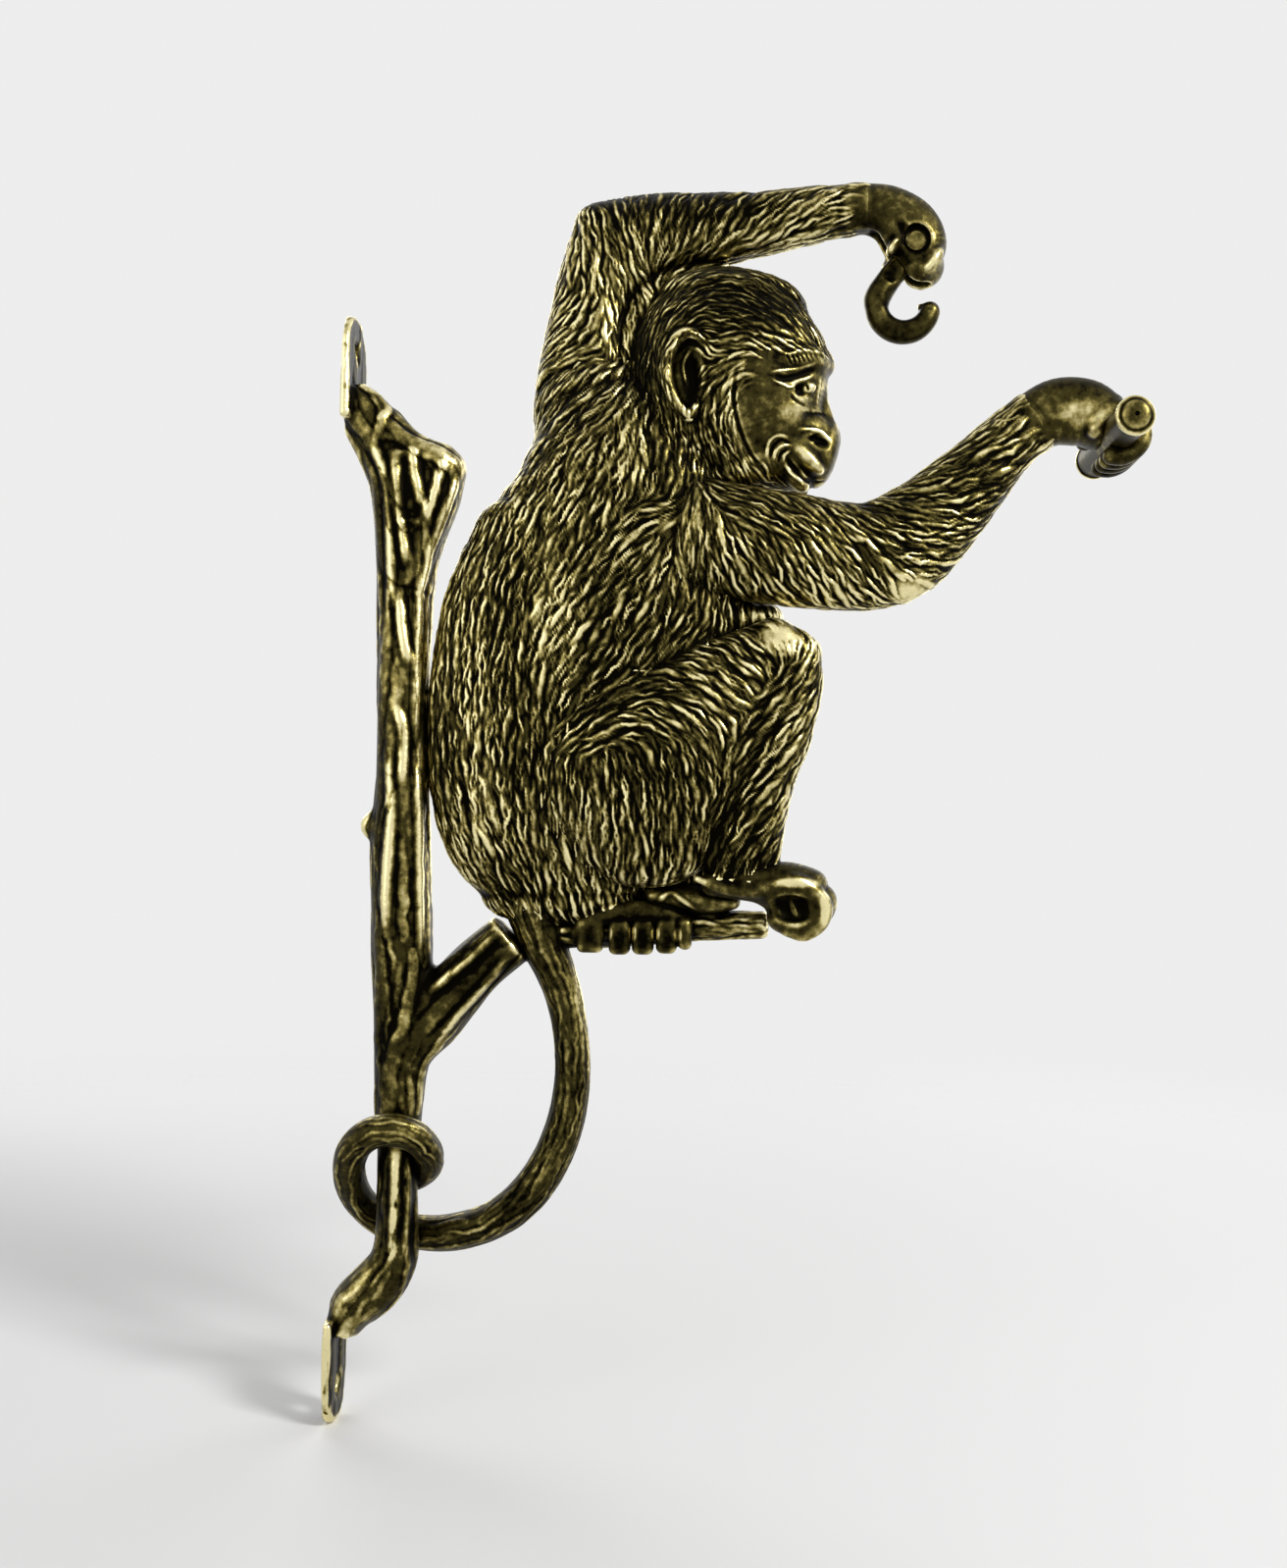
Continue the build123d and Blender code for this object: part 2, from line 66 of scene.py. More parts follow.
# The side view that the tables are read in: pixels, x to the right and y down. All else is in millimetres.
MM_PER_PX = 330.0 / 1255.0
ORIGIN_PX = np.array((346.5, 885.0))  # the frame's origin, on the wall plane
LEAN = math.atan2(21, 1050)  # how far the wall plane leans in the view
EYE_PX = np.array((740.0, 880.0))  # what the camera looks at squarely
EYE_DISTANCE = 400.0
FRAME_PX = (1312, 1598)
HALF = 16.0  # half the body's thickness

# How the forms are measured and joined
FAR = 9.0  # no distance is worked out beyond this
MARGIN = 4.0  # how far round a form its distances are worked out
LEAST_CAP = 0.3  # the flattest end of a limb
JOIN_FILLET = 0.6  # where one piece meets the next
LATE_FILLET = 0.35  # round a form that is set in last
ROOM = 2.5  # round a piece's forms
OVERLAP = 1.4  # how far a piece runs on under its neighbours
SINKING = 0.6  # how fast it goes down there

# How the coat is laid
HAIR_EDGE_PX = 12.0  # over how far the coat thins out round a bare place
TRACE_STEP = 0.9
TRACE_REACH = 1.1  # how far a traced line may be from the surface's points
TRACE_FINE = 3  # places to a step where a strand is raised
STRAND_WAVE = 0.2  # how far the strands wander off the lay
GUIDE_BLUR = 60.0  # how far a guide's own place spreads, in square pixels
LINE_BLUR = 4.0  # the same for the lines that strands run along, in square millimetres
BATCH = 60000  # places that are worked out at a time
LAY_BATCH = 20000

# Oval sections of each limb: middle in pixels, half width in pixels, and, as shares of half the body's
# thickness, half depth and, where it isn't 0, how far the middle stands towards the far side
STEM = (
    (350, 1352, 17, 0.42), (362, 1330, 25, 0.46), (386, 1308, 27, 0.44), (402, 1282, 23, 0.38),
    (405, 1245, 20, 0.34), (405, 1190, 20, 0.33), (406, 1135, 24, 0.36), (408, 1080, 27, 0.42),
    (411, 1020, 29, 0.46), (410, 950, 31, 0.48), (408, 880, 30, 0.46), (410, 800, 27, 0.44),
    (411, 700, 26, 0.43), (413, 600, 27, 0.44), (410, 540, 26, 0.45), (404, 490, 27, 0.46),
    (390, 452, 29, 0.48), (373, 424, 27, 0.50), (362, 408, 20, 0.46),
)
CROWN = ((420, 600, 18, 0.34), (428, 556, 22, 0.40), (440, 514, 27, 0.44), (450, 480, 25, 0.40))
CROWN_WEB = ((392, 440, 25, 0.40), (415, 458, 21, 0.40), (440, 470, 20, 0.38), (452, 474, 19, 0.36))
CROWN_FILL = ((420, 470, 15, 0.40), (424, 500, 15, 0.41), (423, 535, 12, 0.40))
BARK_KNOT = ((400, 843, 20, 0.30), (388, 842, 17, 0.26), (381, 841, 13, 0.20))
STUB = (
    (412, 1070, 26, 0.36), (434, 1042, 32, 0.42), (462, 1010, 30, 0.42), (490, 981, 28, 0.40),
    (519, 957, 28, 0.38),
)
TORSO = (
    (603, 405, 52, 0.55, 0.05), (617, 445, 84, 0.74), (627, 485, 113, 0.86), (630, 530, 134, 0.92),
    (620, 590, 147, 0.94), (602, 650, 153, 0.92), (588, 715, 150, 0.87), (580, 780, 144, 0.81),
    (576, 835, 133, 0.75), (574, 880, 112, 0.66), (574, 912, 82, 0.50),
)
BELLY_FOLD = ((715, 640, 24, 0.42), (750, 633, 20, 0.38), (783, 631, 14, 0.34))
NAPE_WEB = (
    (742, 276, 8, 0.24, 0.10), (712, 279, 10, 0.27, 0.12), (688, 287, 15, 0.30, 0.14),
    (667, 302, 20, 0.32, 0.15), (652, 327, 22, 0.33, 0.14), (646, 357, 20, 0.34, 0.12),
    (648, 392, 18, 0.36, 0.10),
)
HEEL = (
    (668, 913, 12, 0.34, -0.04), (700, 916, 14, 0.36, -0.08), (728, 919, 12, 0.32, -0.12),
    (746, 918, 9, 0.26, -0.15),
)
SKULL = (
    (746, 312, 76, 0.80), (744, 342, 93, 0.94), (744, 377, 100, 1), (744, 412, 96, 0.96),
    (748, 447, 87, 0.85), (759, 476, 68, 0.65),
)
MUZZLE = ((785, 452, 46, 0.64), (815, 458, 43, 0.54), (838, 465, 33, 0.42))
RAISED_ARM = (
    (612, 470, 64, 0.60, 0.12), (600, 420, 57, 0.60, 0.18), (596, 375, 48, 0.58, 0.22),
    (600, 330, 42, 0.55, 0.24), (610, 289, 43, 0.54, 0.24), (631, 254, 51, 0.53, 0.21),
    (666, 239, 43, 0.51, 0.18), (710, 234, 38, 0.48, 0.14), (760, 228, 32, 0.45, 0.10),
    (810, 222, 28, 0.42, 0.05), (852, 216, 25, 0.41), (884, 213, 23, 0.41),
)
RAISED_HAND = (
    (868, 214, 20, 0.36), (884, 213, 23, 0.41), (906, 219, 27, 0.43), (924, 234, 32, 0.46),
    (935, 253, 31, 0.46), (940, 271, 22, 0.38),
)
REACHING_ARM = (
    (712, 552, 57, 0.56, -0.45), (760, 560, 57, 0.56, -0.44), (808, 566, 56, 0.54, -0.38),
    (852, 571, 54, 0.52, -0.31), (888, 570, 53, 0.50, -0.26), (916, 559, 54, 0.49, -0.22),
    (946, 535, 48, 0.46, -0.17), (977, 504, 41, 0.43, -0.12), (1005, 475, 35, 0.41, -0.07),
    (1030, 449, 31, 0.40, -0.03), (1054, 430, 30, 0.40),
)
PALM = (
    (1040, 440, 27, 0.36), (1054, 430, 30, 0.40), (1078, 420, 33, 0.44), (1104, 421, 33, 0.48),
    (1124, 430, 29, 0.50),
)
THIGH = (
    (655, 795, 108, 0.64, 0.46), (700, 752, 90, 0.60, 0.47), (742, 710, 62, 0.51, 0.47),
    (776, 681, 42, 0.43, 0.45), (796, 665, 33, 0.38, 0.45),
)
NEAR_SHIN = (
    (800, 670, 35, 0.40, 0.45), (797, 705, 38, 0.42, 0.45), (788, 750, 37, 0.42, 0.46),
    (773, 795, 35, 0.40, 0.46), (761, 840, 37, 0.38, 0.46), (755, 876, 38, 0.35, 0.46),
    (752, 896, 34, 0.32, 0.46),
)
FAR_SHIN = (
    (798, 670, 35, 0.40, 0.45), (790, 708, 37, 0.42, 0.47), (771, 755, 37, 0.42, 0.48),
    (747, 803, 36, 0.40, 0.48), (722, 850, 32, 0.36, 0.46), (703, 888, 26, 0.32, 0.42),
    (696, 912, 22, 0.28, 0.36),
)
NEAR_FOOT = (
    (729, 899, 14, 0.32, -0.46), (750, 899, 17, 0.38, -0.46), (775, 900, 21, 0.43, -0.46),
    (798, 906, 29, 0.47, -0.45), (817, 917, 34, 0.46, -0.43), (827, 924, 27, 0.36, -0.42),
)
FAR_FOOT = (
    (712, 922, 11, 0.24, 0.28), (694, 925, 13, 0.32, 0.20), (660, 929, 14, 0.38, 0.12),
    (625, 933, 14, 0.38, 0.10), (590, 937, 12, 0.32, 0.08),
)
TWIG = ((575, 951, 15, 0.24), (640, 949, 15, 0.24), (715, 943, 15, 0.24), (779, 943, 14, 0.22))
TAIL = (
    (545, 925, 30, 0.48), (553, 958, 24, 0.38), (566, 990, 20, 0.33), (577, 1025, 18.5, 0.30),
    (583, 1065, 18, 0.29), (583, 1105, 18.5, 0.29), (576, 1145, 19.5, 0.30), (561, 1183, 20, 0.31),
    (538, 1217, 20.5, 0.32, 0.03), (508, 1242, 20, 0.31, 0.12), (474, 1257, 20, 0.30, 0.30),
    (440, 1264, 19, 0.29, 0.49), (406, 1262, 18, 0.28, 0.60), (379, 1248, 17, 0.27, 0.50),
    (362, 1224, 16, 0.26, 0.22), (358, 1196, 16, 0.26, -0.12), (366, 1168, 16, 0.26, -0.42),
    (385, 1150, 16.5, 0.26, -0.58), (408, 1145, 17, 0.26, -0.61), (429, 1153, 16, 0.25, -0.50),
    (439, 1172, 15, 0.24, -0.20), (434, 1192, 14, 0.22, 0.18), (418, 1206, 13, 0.20, 0.46),
    (400, 1212, 12, 0.18, 0.52),
)

# Which way the hair lies: places in pixels and the way from root to tip, x to the right and y down
TORSO_LAY = (
    (600, 480, -0.45, 0.9), (560, 560, -0.4, 0.92), (520, 640, -0.2, 0.98), (470, 700, -0.05, 1),
    (455, 800, 0.1, 1), (500, 760, -0.05, 1), (560, 650, -0.45, 0.9), (600, 600, -0.5, 0.87),
    (640, 450, -0.1, 1), (655, 490, -0.2, 1), (600, 425, -0.7, 0.7), (555, 440, -0.7, 0.75),
    (480, 870, 0.35, 0.94), (520, 905, 0.5, 0.87), (540, 820, 0, 1), (560, 760, 0.05, 1),
    (520, 700, -0.1, 1), (565, 900, 0.2, 1), (665, 520, -0.95, 0.25), (645, 560, -0.75, 0.65),
    (690, 560, -0.35, 0.94), (715, 570, -0.1, 1), (750, 560, 0.35, 0.94), (760, 515, 0.9, 0.3),
    (800, 540, 0.9, 0.35), (700, 610, -0.15, 1), (660, 640, -0.5, 0.85), (740, 610, 0.1, 1),
    (700, 650, -0.6, 0.8), (640, 665, -0.5, 0.85), (620, 520, -0.4, 0.92), (675, 465, 0, 1),
    (600, 700, -0.5, 0.85), (640, 700, -0.8, 0.5),
)
LEG_LAY = (
    (590, 740, 0.7, -0.7), (620, 715, 0.85, -0.5), (660, 700, 0.95, -0.2), (700, 700, 0.95, 0.3),
    (740, 700, 0.8, 0.6), (760, 685, 0.75, 0.6), (600, 760, 0.75, -0.4), (640, 745, 0.95, 0.1),
    (680, 735, 0.85, 0.5), (710, 750, 0.55, 0.82), (730, 780, 0.3, 0.95), (600, 785, 0.1, 1),
    (640, 780, 0.35, 0.93), (670, 780, 0.3, 0.95), (700, 800, 0.2, 0.98), (620, 830, 0, 1),
    (660, 840, 0.1, 1), (700, 850, 0.05, 1), (640, 880, -0.1, 1), (680, 890, 0, 1), (560, 800, -0.05, 1),
    (590, 860, -0.15, 1), (785, 675, 0.5, 0.85), (800, 690, -0.6, 0.8), (790, 720, -0.7, 0.72),
    (800, 750, -0.7, 0.7), (780, 780, -0.7, 0.7), (780, 820, -0.6, 0.8), (785, 855, -0.6, 0.8),
    (750, 780, -0.45, 0.9), (740, 830, -0.4, 0.9), (745, 870, -0.4, 0.9),
)
RAISED_ARM_LAY = (
    (555, 430, -0.7, 0.7), (600, 425, -0.75, 0.65), (640, 420, -0.2, 0.98), (560, 370, -0.9, 0.4),
    (600, 370, -0.9, 0.3), (630, 370, 0.2, 0.98), (575, 325, -0.8, 0.5), (600, 320, -0.45, 0.9),
    (630, 320, 0.1, 1), (590, 270, 0.1, -1), (610, 240, -0.3, -0.95), (640, 250, -0.35, -0.93),
    (650, 285, -0.5, -0.85), (670, 235, 0.15, -1), (700, 225, 0.35, -0.93), (690, 260, 0.6, -0.8),
    (740, 225, 0.5, -0.87), (780, 222, 0.65, -0.75), (820, 215, 0.85, -0.5), (850, 215, 0.92, -0.4),
    (760, 250, 0.8, -0.6), (840, 236, 0.92, -0.35), (880, 215, 0.9, 0.1),
)
REACHING_ARM_LAY = (
    (715, 540, -0.1, 1), (715, 600, 0, 1), (760, 520, 0.9, 0.35), (760, 560, 0.5, 0.87),
    (760, 600, 0.3, 0.95), (800, 530, 0.85, 0.5), (800, 570, 0.5, 0.87), (800, 605, 0.45, 0.9),
    (850, 535, 0.8, 0.6), (850, 575, 0.55, 0.83), (850, 610, 0.5, 0.87), (895, 540, 0.85, 0.5),
    (890, 575, 0.65, 0.76), (895, 600, 0.6, 0.8), (930, 530, 0.97, 0.25), (935, 560, 0.98, 0.2),
    (960, 520, 1, 0.05), (975, 545, 0.98, -0.1), (960, 490, 0.9, -0.3), (1000, 500, 0.95, -0.3),
    (990, 465, 0.8, -0.55), (1030, 470, 0.85, -0.5), (1040, 420, 0.8, -0.55),
)
HEAD_LAY = (
    (690, 300, 0.8, -0.6), (720, 290, 0.9, -0.2), (750, 300, 0.9, 0.25), (790, 310, 0.85, 0.5),
    (815, 335, 0.8, 0.6), (700, 330, 0.8, -0.5), (740, 325, 0.9, 0.2), (780, 340, 0.9, 0.35),
    (655, 350, -0.3, 0.95), (665, 400, 0.1, 1), (680, 440, 0.15, 1), (690, 480, 0.1, 1),
    (720, 350, 0.7, 0.7), (745, 350, 0.9, -0.25), (730, 380, 0.8, -0.55), (735, 410, 0.4, -0.9),
    (725, 440, 0.25, 0.95), (745, 465, 0.4, 0.9), (780, 485, 0.5, 0.85), (710, 470, 0.15, 1),
    (670, 330, -0.4, 0.9), (800, 345, 0.9, 0.3), (720, 480, 0.3, 0.95), (760, 490, 0.5, 0.87),
)

# Places without hair: middle, half width and half height in pixels, and a share that lightens them for polish
# from handling and for painted highlights, and darkens them for painted shade
BARE = {
    "head": (
        (806, 425, 58, 62, 0), (806, 372, 56, 20, -0.03), (835, 470, 40, 40, -0.02), (700, 382, 19, 40, 0),
        # Painted highlights on the cheek, the upper lip and the side of the nose
        (807, 420, 16, 12, 0.15), (818, 462, 14, 9, 0.10), (840, 400, 8, 24, 0.08),
    ),
    "raised_arm": ((600, 208, 26, 12, -0.12), (905, 214, 46, 50, 0.0)),
    "reaching_arm": ((930, 600, 24, 18, 0.22), (1085, 422, 50, 44, 0.0)),
    "near_leg": ((795, 650, 26, 20, 0.32), (725, 905, 60, 10, 0.0)),
    "far_leg": ((795, 650, 26, 20, 0.32), (700, 915, 40, 10, 0.0)),
    # Painted highlights on the knuckles and painted shade in the hollow round the pin
    "raised_hand": ((951, 266, 10, 14, 0.10), (912, 251, 7, 9, 0.14), (928, 246, 22, 26, -0.16)),
    # A patch polished by handling on the back of the hand, and painted shade on the closed fingers
    "reaching_hand": ((1106, 420, 32, 18, 0.24), (1140, 474, 44, 46, -0.14)),
    # Painted highlights along the foot's rim and on its toe, and painted shade in its hollow
    "near_foot": ((812, 900, 28, 6, 0.25), (841, 925, 6, 20, 0.3), (808, 930, 24, 14, -0.12)),
    # Painted highlights between the toes, and painted shade on the sole and under the toes
    "far_foot": (
        (619, 952, 6, 9, 0.4), (645, 952, 5, 9, 0.4), (668, 952, 5, 9, 0.4), (691, 953, 5, 9, 0.4),
        (650, 932, 60, 12, -0.12), (650, 960, 70, 14, -0.10),
    ),
}

# Painted highlights and painted shade over whole stretches: middle, half width and half height in pixels, and
# share, above 0 for a highlight and below 0 for shade
PAINTED_LIGHT = {
    "torso": (
        (566, 650, 32, 80, 0.15), (643, 474, 24, 34, 0.12), (500, 820, 22, 60, 0.07),
        (590, 500, 60, 60, 0.04), (480, 640, 26, 130, 0.05), (480, 800, 26, 110, 0.05),
        (665, 610, 55, 60, -0.06), (560, 800, 60, 60, -0.03), (700, 530, 50, 26, 0.05),
    ),
    "near_leg": ((640, 705, 70, 30, -0.05), (806, 800, 26, 100, 0.12), (745, 850, 26, 60, -0.06)),
    "far_leg": ((720, 850, 60, 60, -0.10),),
    "raised_arm": ((628, 340, 26, 80, 0.06), (780, 247, 90, 16, 0.08), (700, 212, 130, 20, -0.10)),
    "head": (
        # Painted shade on the crown and under the jaw, and a painted shadow of the raised arm along the back
        # of the head
        (745, 312, 84, 40, -0.09), (652, 370, 16, 60, -0.16), (715, 478, 30, 24, -0.08),
        # Painted shade in the ear
        (700, 382, 34, 54, -0.15),
    ),
    "reaching_arm": ((860, 550, 110, 40, -0.04), (1000, 480, 50, 40, -0.04), (800, 600, 80, 16, 0.03)),
    "branch": (
        # A painted highlight down the stem's right side and painted shade down its left
        (432, 700, 10, 330, 0.14), (388, 760, 12, 420, -0.05), (406, 1240, 44, 130, -0.10),
        (484, 1002, 70, 66, -0.12), (400, 1080, 26, 70, -0.05), (425, 485, 14, 40, 0.05),
    ),
    # A painted highlight down the tail's right side
    "tail": ((594, 1000, 12, 90, 0.10), (500, 1180, 200, 130, -0.07)),
}


def frame_mm(px):
    """Frame x and z in millimetres of pixels of the side view, on the bracket's middle plane."""
    px = np.asarray(px, float)
    right = px[..., 0] - ORIGIN_PX[0]
    down = px[..., 1] - ORIGIN_PX[1]
    out = (right * math.cos(LEAN) + down * math.sin(LEAN)) * MM_PER_PX
    up = (right * math.sin(LEAN) - down * math.cos(LEAN)) * MM_PER_PX
    return np.stack((out, up), -1)


def side_px(points):
    """Pixels of the side view where points of the frame, in millimetres, are seen from their own side."""
    out = points[:, 0] / MM_PER_PX
    up = points[:, 2] / MM_PER_PX
    plain = np.stack((
        out * math.cos(LEAN) + up * math.sin(LEAN) + ORIGIN_PX[0],
        out * math.sin(LEAN) - up * math.cos(LEAN) + ORIGIN_PX[1],
    ), -1)
    reach = EYE_DISTANCE / (EYE_DISTANCE - np.abs(points[:, 1]))
    return EYE_PX + (plain - EYE_PX) * reach[:, None]


def seen_mm(px, side):
    """Frame x and z of a pixel that shows a place this far to the side, in millimetres."""
    px = EYE_PX + (np.asarray(px, float) - EYE_PX) * (1 - abs(side) / EYE_DISTANCE)
    return frame_mm(px)


def eased(value, low, high):
    """0 below low, 1 above high, and a smooth rise between."""
    share = np.clip((value - low) / (high - low), 0, 1)
    return share * share * (3 - 2 * share)


def melt(a, b, reach):
    """Joins two distance fields with a fillet about as wide as reach."""
    share = np.clip(0.5 + 0.5 * (b - a) / reach, 0, 1)
    return b + (a - b) * share - reach * share * (1 - share)


def through(rows, per_span=5):
    """A smooth run of rows through the given ones."""
    rows = np.asarray(rows, float)
    if len(rows) < 3:
        return rows
    padded = np.vstack((2 * rows[0] - rows[1], rows, 2 * rows[-1] - rows[-2]))
    run = []
    for a, b, c, d in zip(padded, padded[1:], padded[2:], padded[3:]):
        bend, turn = 2 * a - 5 * b + 4 * c - d, 3 * b - a - 3 * c + d
        for t in np.arange(per_span) / per_span:
            run.append(0.5 * (2 * b + (c - a) * t + bend * t**2 + turn * t**3))
    run.append(rows[-1])
    return np.array(run)


def rows_of(table):
    """A limb's rows as numbers, each with its side."""
    return np.array([(*row, 0.0)[:5] for row in table])


class Grid:
    """The points of a box at which forms are measured."""

    def __init__(self, low, high, pitch):
        self.pitch = pitch
        self.low = np.asarray(low, float)
        count = np.ceil((np.asarray(high) - self.low) / pitch).astype(int) + 1
        self.axes = [self.low[i] + pitch * np.arange(count[i]) for i in range(3)]
        self.shape = tuple(count)

    def part(self, low, high):
        """Index ranges of the part of the box between two corners."""
        spans = []
        for axis, a, b in zip(self.axes, low, high):
            spans.append(slice(int(np.searchsorted(axis, a)), int(np.searchsorted(axis, b))))
        return tuple(spans)


class Limb:
    """A limb whose oval sections follow a line in the side view. Start and end say how far its caps stand
    out, and full how square its sections are."""

    def __init__(self, table, start=0.3, end=0.3, full=2.0, flip=False):
        rows = through(rows_of(table))
        places = frame_mm(rows[:, :2])
        self.x, self.z = places[:, 0], places[:, 1]
        self.wide = rows[:, 2] * MM_PER_PX
        self.deep = rows[:, 3] * HALF
        self.side = rows[:, 4] * HALF * (-1 if flip else 1)
        self.start = max(start * min(self.wide[0], self.deep[0]), LEAST_CAP)
        self.end = max(end * min(self.wide[-1], self.deep[-1]), LEAST_CAP)
        self.full = full

    def box(self):
        reach = np.maximum(self.wide, self.deep)
        low = ((self.x - reach).min(), (self.side - self.deep).min(), (self.z - reach).min())
        high = ((self.x + reach).max(), (self.side + self.deep).max(), (self.z + reach).max())
        return np.array(low), np.array(high)

    def measure(self, xs, ys, zs):
        """Distances from its surface at the points of a grid, below 0 inside."""
        x, z = np.meshgrid(xs, zs, indexing="ij")
        nearest = np.full(x.shape, np.inf)
        share = np.zeros(x.shape)
        for i in range(len(self.x) - 1):
            run = np.array((self.x[i + 1] - self.x[i], self.z[i + 1] - self.z[i]))
            t = ((x - self.x[i]) * run[0] + (z - self.z[i]) * run[1]) / (run @ run)
            t = np.clip(t, 0, 1)
            gap = (x - self.x[i] - t * run[0]) ** 2 + (z - self.z[i] - t * run[1]) ** 2
            closer = gap < nearest
            nearest[closer] = gap[closer]
            share[closer] = (t + i)[closer]
        order = np.arange(len(self.x))
        wide, deep, side = (
            np.interp(share, order, row)[:, None, :] for row in (self.wide, self.deep, self.side)
        )
        away = np.sqrt(nearest)
        beyond = np.zeros(x.shape)
        for at_end, tip, inner in ((share <= 0, 0, 1), (share >= order[-1], -1, -2)):
            run = np.array((self.x[tip] - self.x[inner], self.z[tip] - self.z[inner]))
            run /= np.hypot(*run)
            along = (x - self.x[tip]) * run[0] + (z - self.z[tip]) * run[1]
            across = np.sqrt(np.maximum(nearest - along**2, 0))
            away = np.where(at_end, across, away)
            beyond = np.where(at_end, along / (self.start if tip == 0 else self.end), beyond)
        u = away[:, None, :] / wide
        v = np.abs(ys[None, :, None] - side) / deep
        w = beyond[:, None, :]
        reach = (u**self.full + v**self.full + np.abs(w) ** self.full) ** (1 / self.full)
        slope = np.sqrt((u / wide) ** 2 + (v / deep) ** 2 + (w / max(self.end, self.start)) ** 2)
        round_reach = np.sqrt(u**2 + v**2 + w**2)
        return (reach - 1) * round_reach / np.maximum(slope, 1e-3)


class Rod:
    """A round rod through points of the frame, in millimetres, as thick at each as its radius."""

    def __init__(self, points, radii, smooth=5):
        rows = np.column_stack((np.asarray(points, float), np.broadcast_to(radii, len(points))))
        self.rows = through(rows, smooth) if smooth > 1 else rows

    def box(self):
        reach = self.rows[:, 3:]
        return (self.rows[:, :3] - reach).min(0), (self.rows[:, :3] + reach).max(0)

    def fill(self, grid, out):
        """Sets its distances in a grid's, span by span."""
        for a, b in zip(self.rows, self.rows[1:]):
            reach = max(a[3], b[3]) + MARGIN
            spans = grid.part(np.minimum(a[:3], b[:3]) - reach, np.maximum(a[:3], b[:3]) + reach)
            xs, ys, zs = (axis[s] for axis, s in zip(grid.axes, spans))
            if not (len(xs) and len(ys) and len(zs)):
                continue
            x, y, z = xs[:, None, None] - a[0], ys[None, :, None] - a[1], zs[None, None, :] - a[2]
            run = b[:3] - a[:3]
            t = np.clip((x * run[0] + y * run[1] + z * run[2]) / max(run @ run, 1e-9), 0, 1)
            gap = np.sqrt((x - t * run[0]) ** 2 + (y - t * run[1]) ** 2 + (z - t * run[2]) ** 2)
            out[spans] = np.minimum(out[spans], gap - a[3] - t * (b[3] - a[3]))


class Blob:
    """An egg shape seen at a pixel, to one side of the middle plane. A turn tips it in the side view."""

    def __init__(self, px, side, wide_px, high_px, deep, turn=0.0):
        out, up = seen_mm(px, side)
        self.middle = np.array((out, side, up))
        self.sizes = np.array((wide_px * MM_PER_PX, deep, high_px * MM_PER_PX))
        self.turn = math.radians(turn)

    def box(self):
        reach = self.sizes.max()
        return self.middle - reach, self.middle + reach

    def measure(self, xs, ys, zs):
        x, y, z = np.meshgrid(xs, ys, zs, indexing="ij")
        x, y, z = x - self.middle[0], y - self.middle[1], z - self.middle[2]
        c, s = math.cos(self.turn), math.sin(self.turn)
        x, z = x * c + z * s, z * c - x * s
        a, b, c = self.sizes
        reach = np.sqrt((x / a) ** 2 + (y / b) ** 2 + (z / c) ** 2)
        slope = np.sqrt((x / a**2) ** 2 + (y / b**2) ** 2 + (z / c**2) ** 2)
        return (reach - 1) * reach / np.maximum(slope, 1e-3)


class Slab:
    """A box square to the frame, between two corners, with rounded edges."""

    def __init__(self, low, high, rounding):
        self.low = np.array(low, float) + rounding
        self.high = np.array(high, float) - rounding
        self.rounding = rounding

    def box(self):
        return self.low - self.rounding, self.high + self.rounding

    def measure(self, xs, ys, zs):
        gap = 0
        for low, high, at in zip(self.low, self.high, np.meshgrid(xs, ys, zs, indexing="ij", sparse=True)):
            gap = gap + np.maximum(np.maximum(low - at, at - high), 0) ** 2
        return np.sqrt(gap) - self.rounding


class Disc:
    """A round plate along one axis, from its middle, radius and half thickness."""

    def __init__(self, middle, axis, radius, half, rounding):
        self.middle = np.array(middle, float)
        self.axis = axis
        self.radius = radius - rounding
        self.half = half - rounding
        self.rounding = rounding

    def box(self):
        reach = np.full(3, self.radius + self.rounding)
        reach[self.axis] = self.half + self.rounding
        return self.middle - reach, self.middle + reach

    def measure(self, xs, ys, zs):
        places = np.meshgrid(xs, ys, zs, indexing="ij", sparse=True)
        away = [place - middle for place, middle in zip(places, self.middle)]
        along = np.abs(away.pop(self.axis)) - self.half
        across = np.sqrt(away[0] ** 2 + away[1] ** 2) - self.radius
        inside = np.minimum(np.maximum(along, across), 0)
        outside = np.sqrt(np.maximum(along, 0) ** 2 + np.maximum(across, 0) ** 2)
        return inside + outside - self.rounding


def field(form, grid):
    """A form's distances at a grid's points, only worked out near the form."""
    out = np.full(grid.shape, FAR, np.float32)
    if isinstance(form, Rod):
        form.fill(grid, out)
        return out
    low, high = form.box()
    spans = grid.part(low - MARGIN, high + MARGIN)
    if all(s.stop > s.start for s in spans):
        xs, ys, zs = (axis[s] for axis, s in zip(grid.axes, spans))
        out[spans] = np.minimum(form.measure(xs, ys, zs), FAR)
    return out


class Node:
    """The forms that make one piece: added ones melted together, cut ones, and late ones set in after them.
    An added form may come with its own reach of melting."""

    def __init__(self, adds, cuts=(), blend=1.2, cut_blend=0.5, late=()):
        self.adds = [form if isinstance(form, tuple) else (form, blend) for form in adds]
        self.cuts, self.cut_blend, self.late = cuts, cut_blend, late

    def box(self):
        lows, highs = zip(*(form.box() for form, _ in self.adds))
        return np.min(lows, 0), np.max(highs, 0)

    def measure(self, grid):
        whole = None
        for form, blend in self.adds:
            one = field(form, grid)
            whole = one if whole is None else melt(whole, one, blend)
        for form in self.cuts:
            whole = -melt(-whole, field(form, grid), self.cut_blend)
        return whole


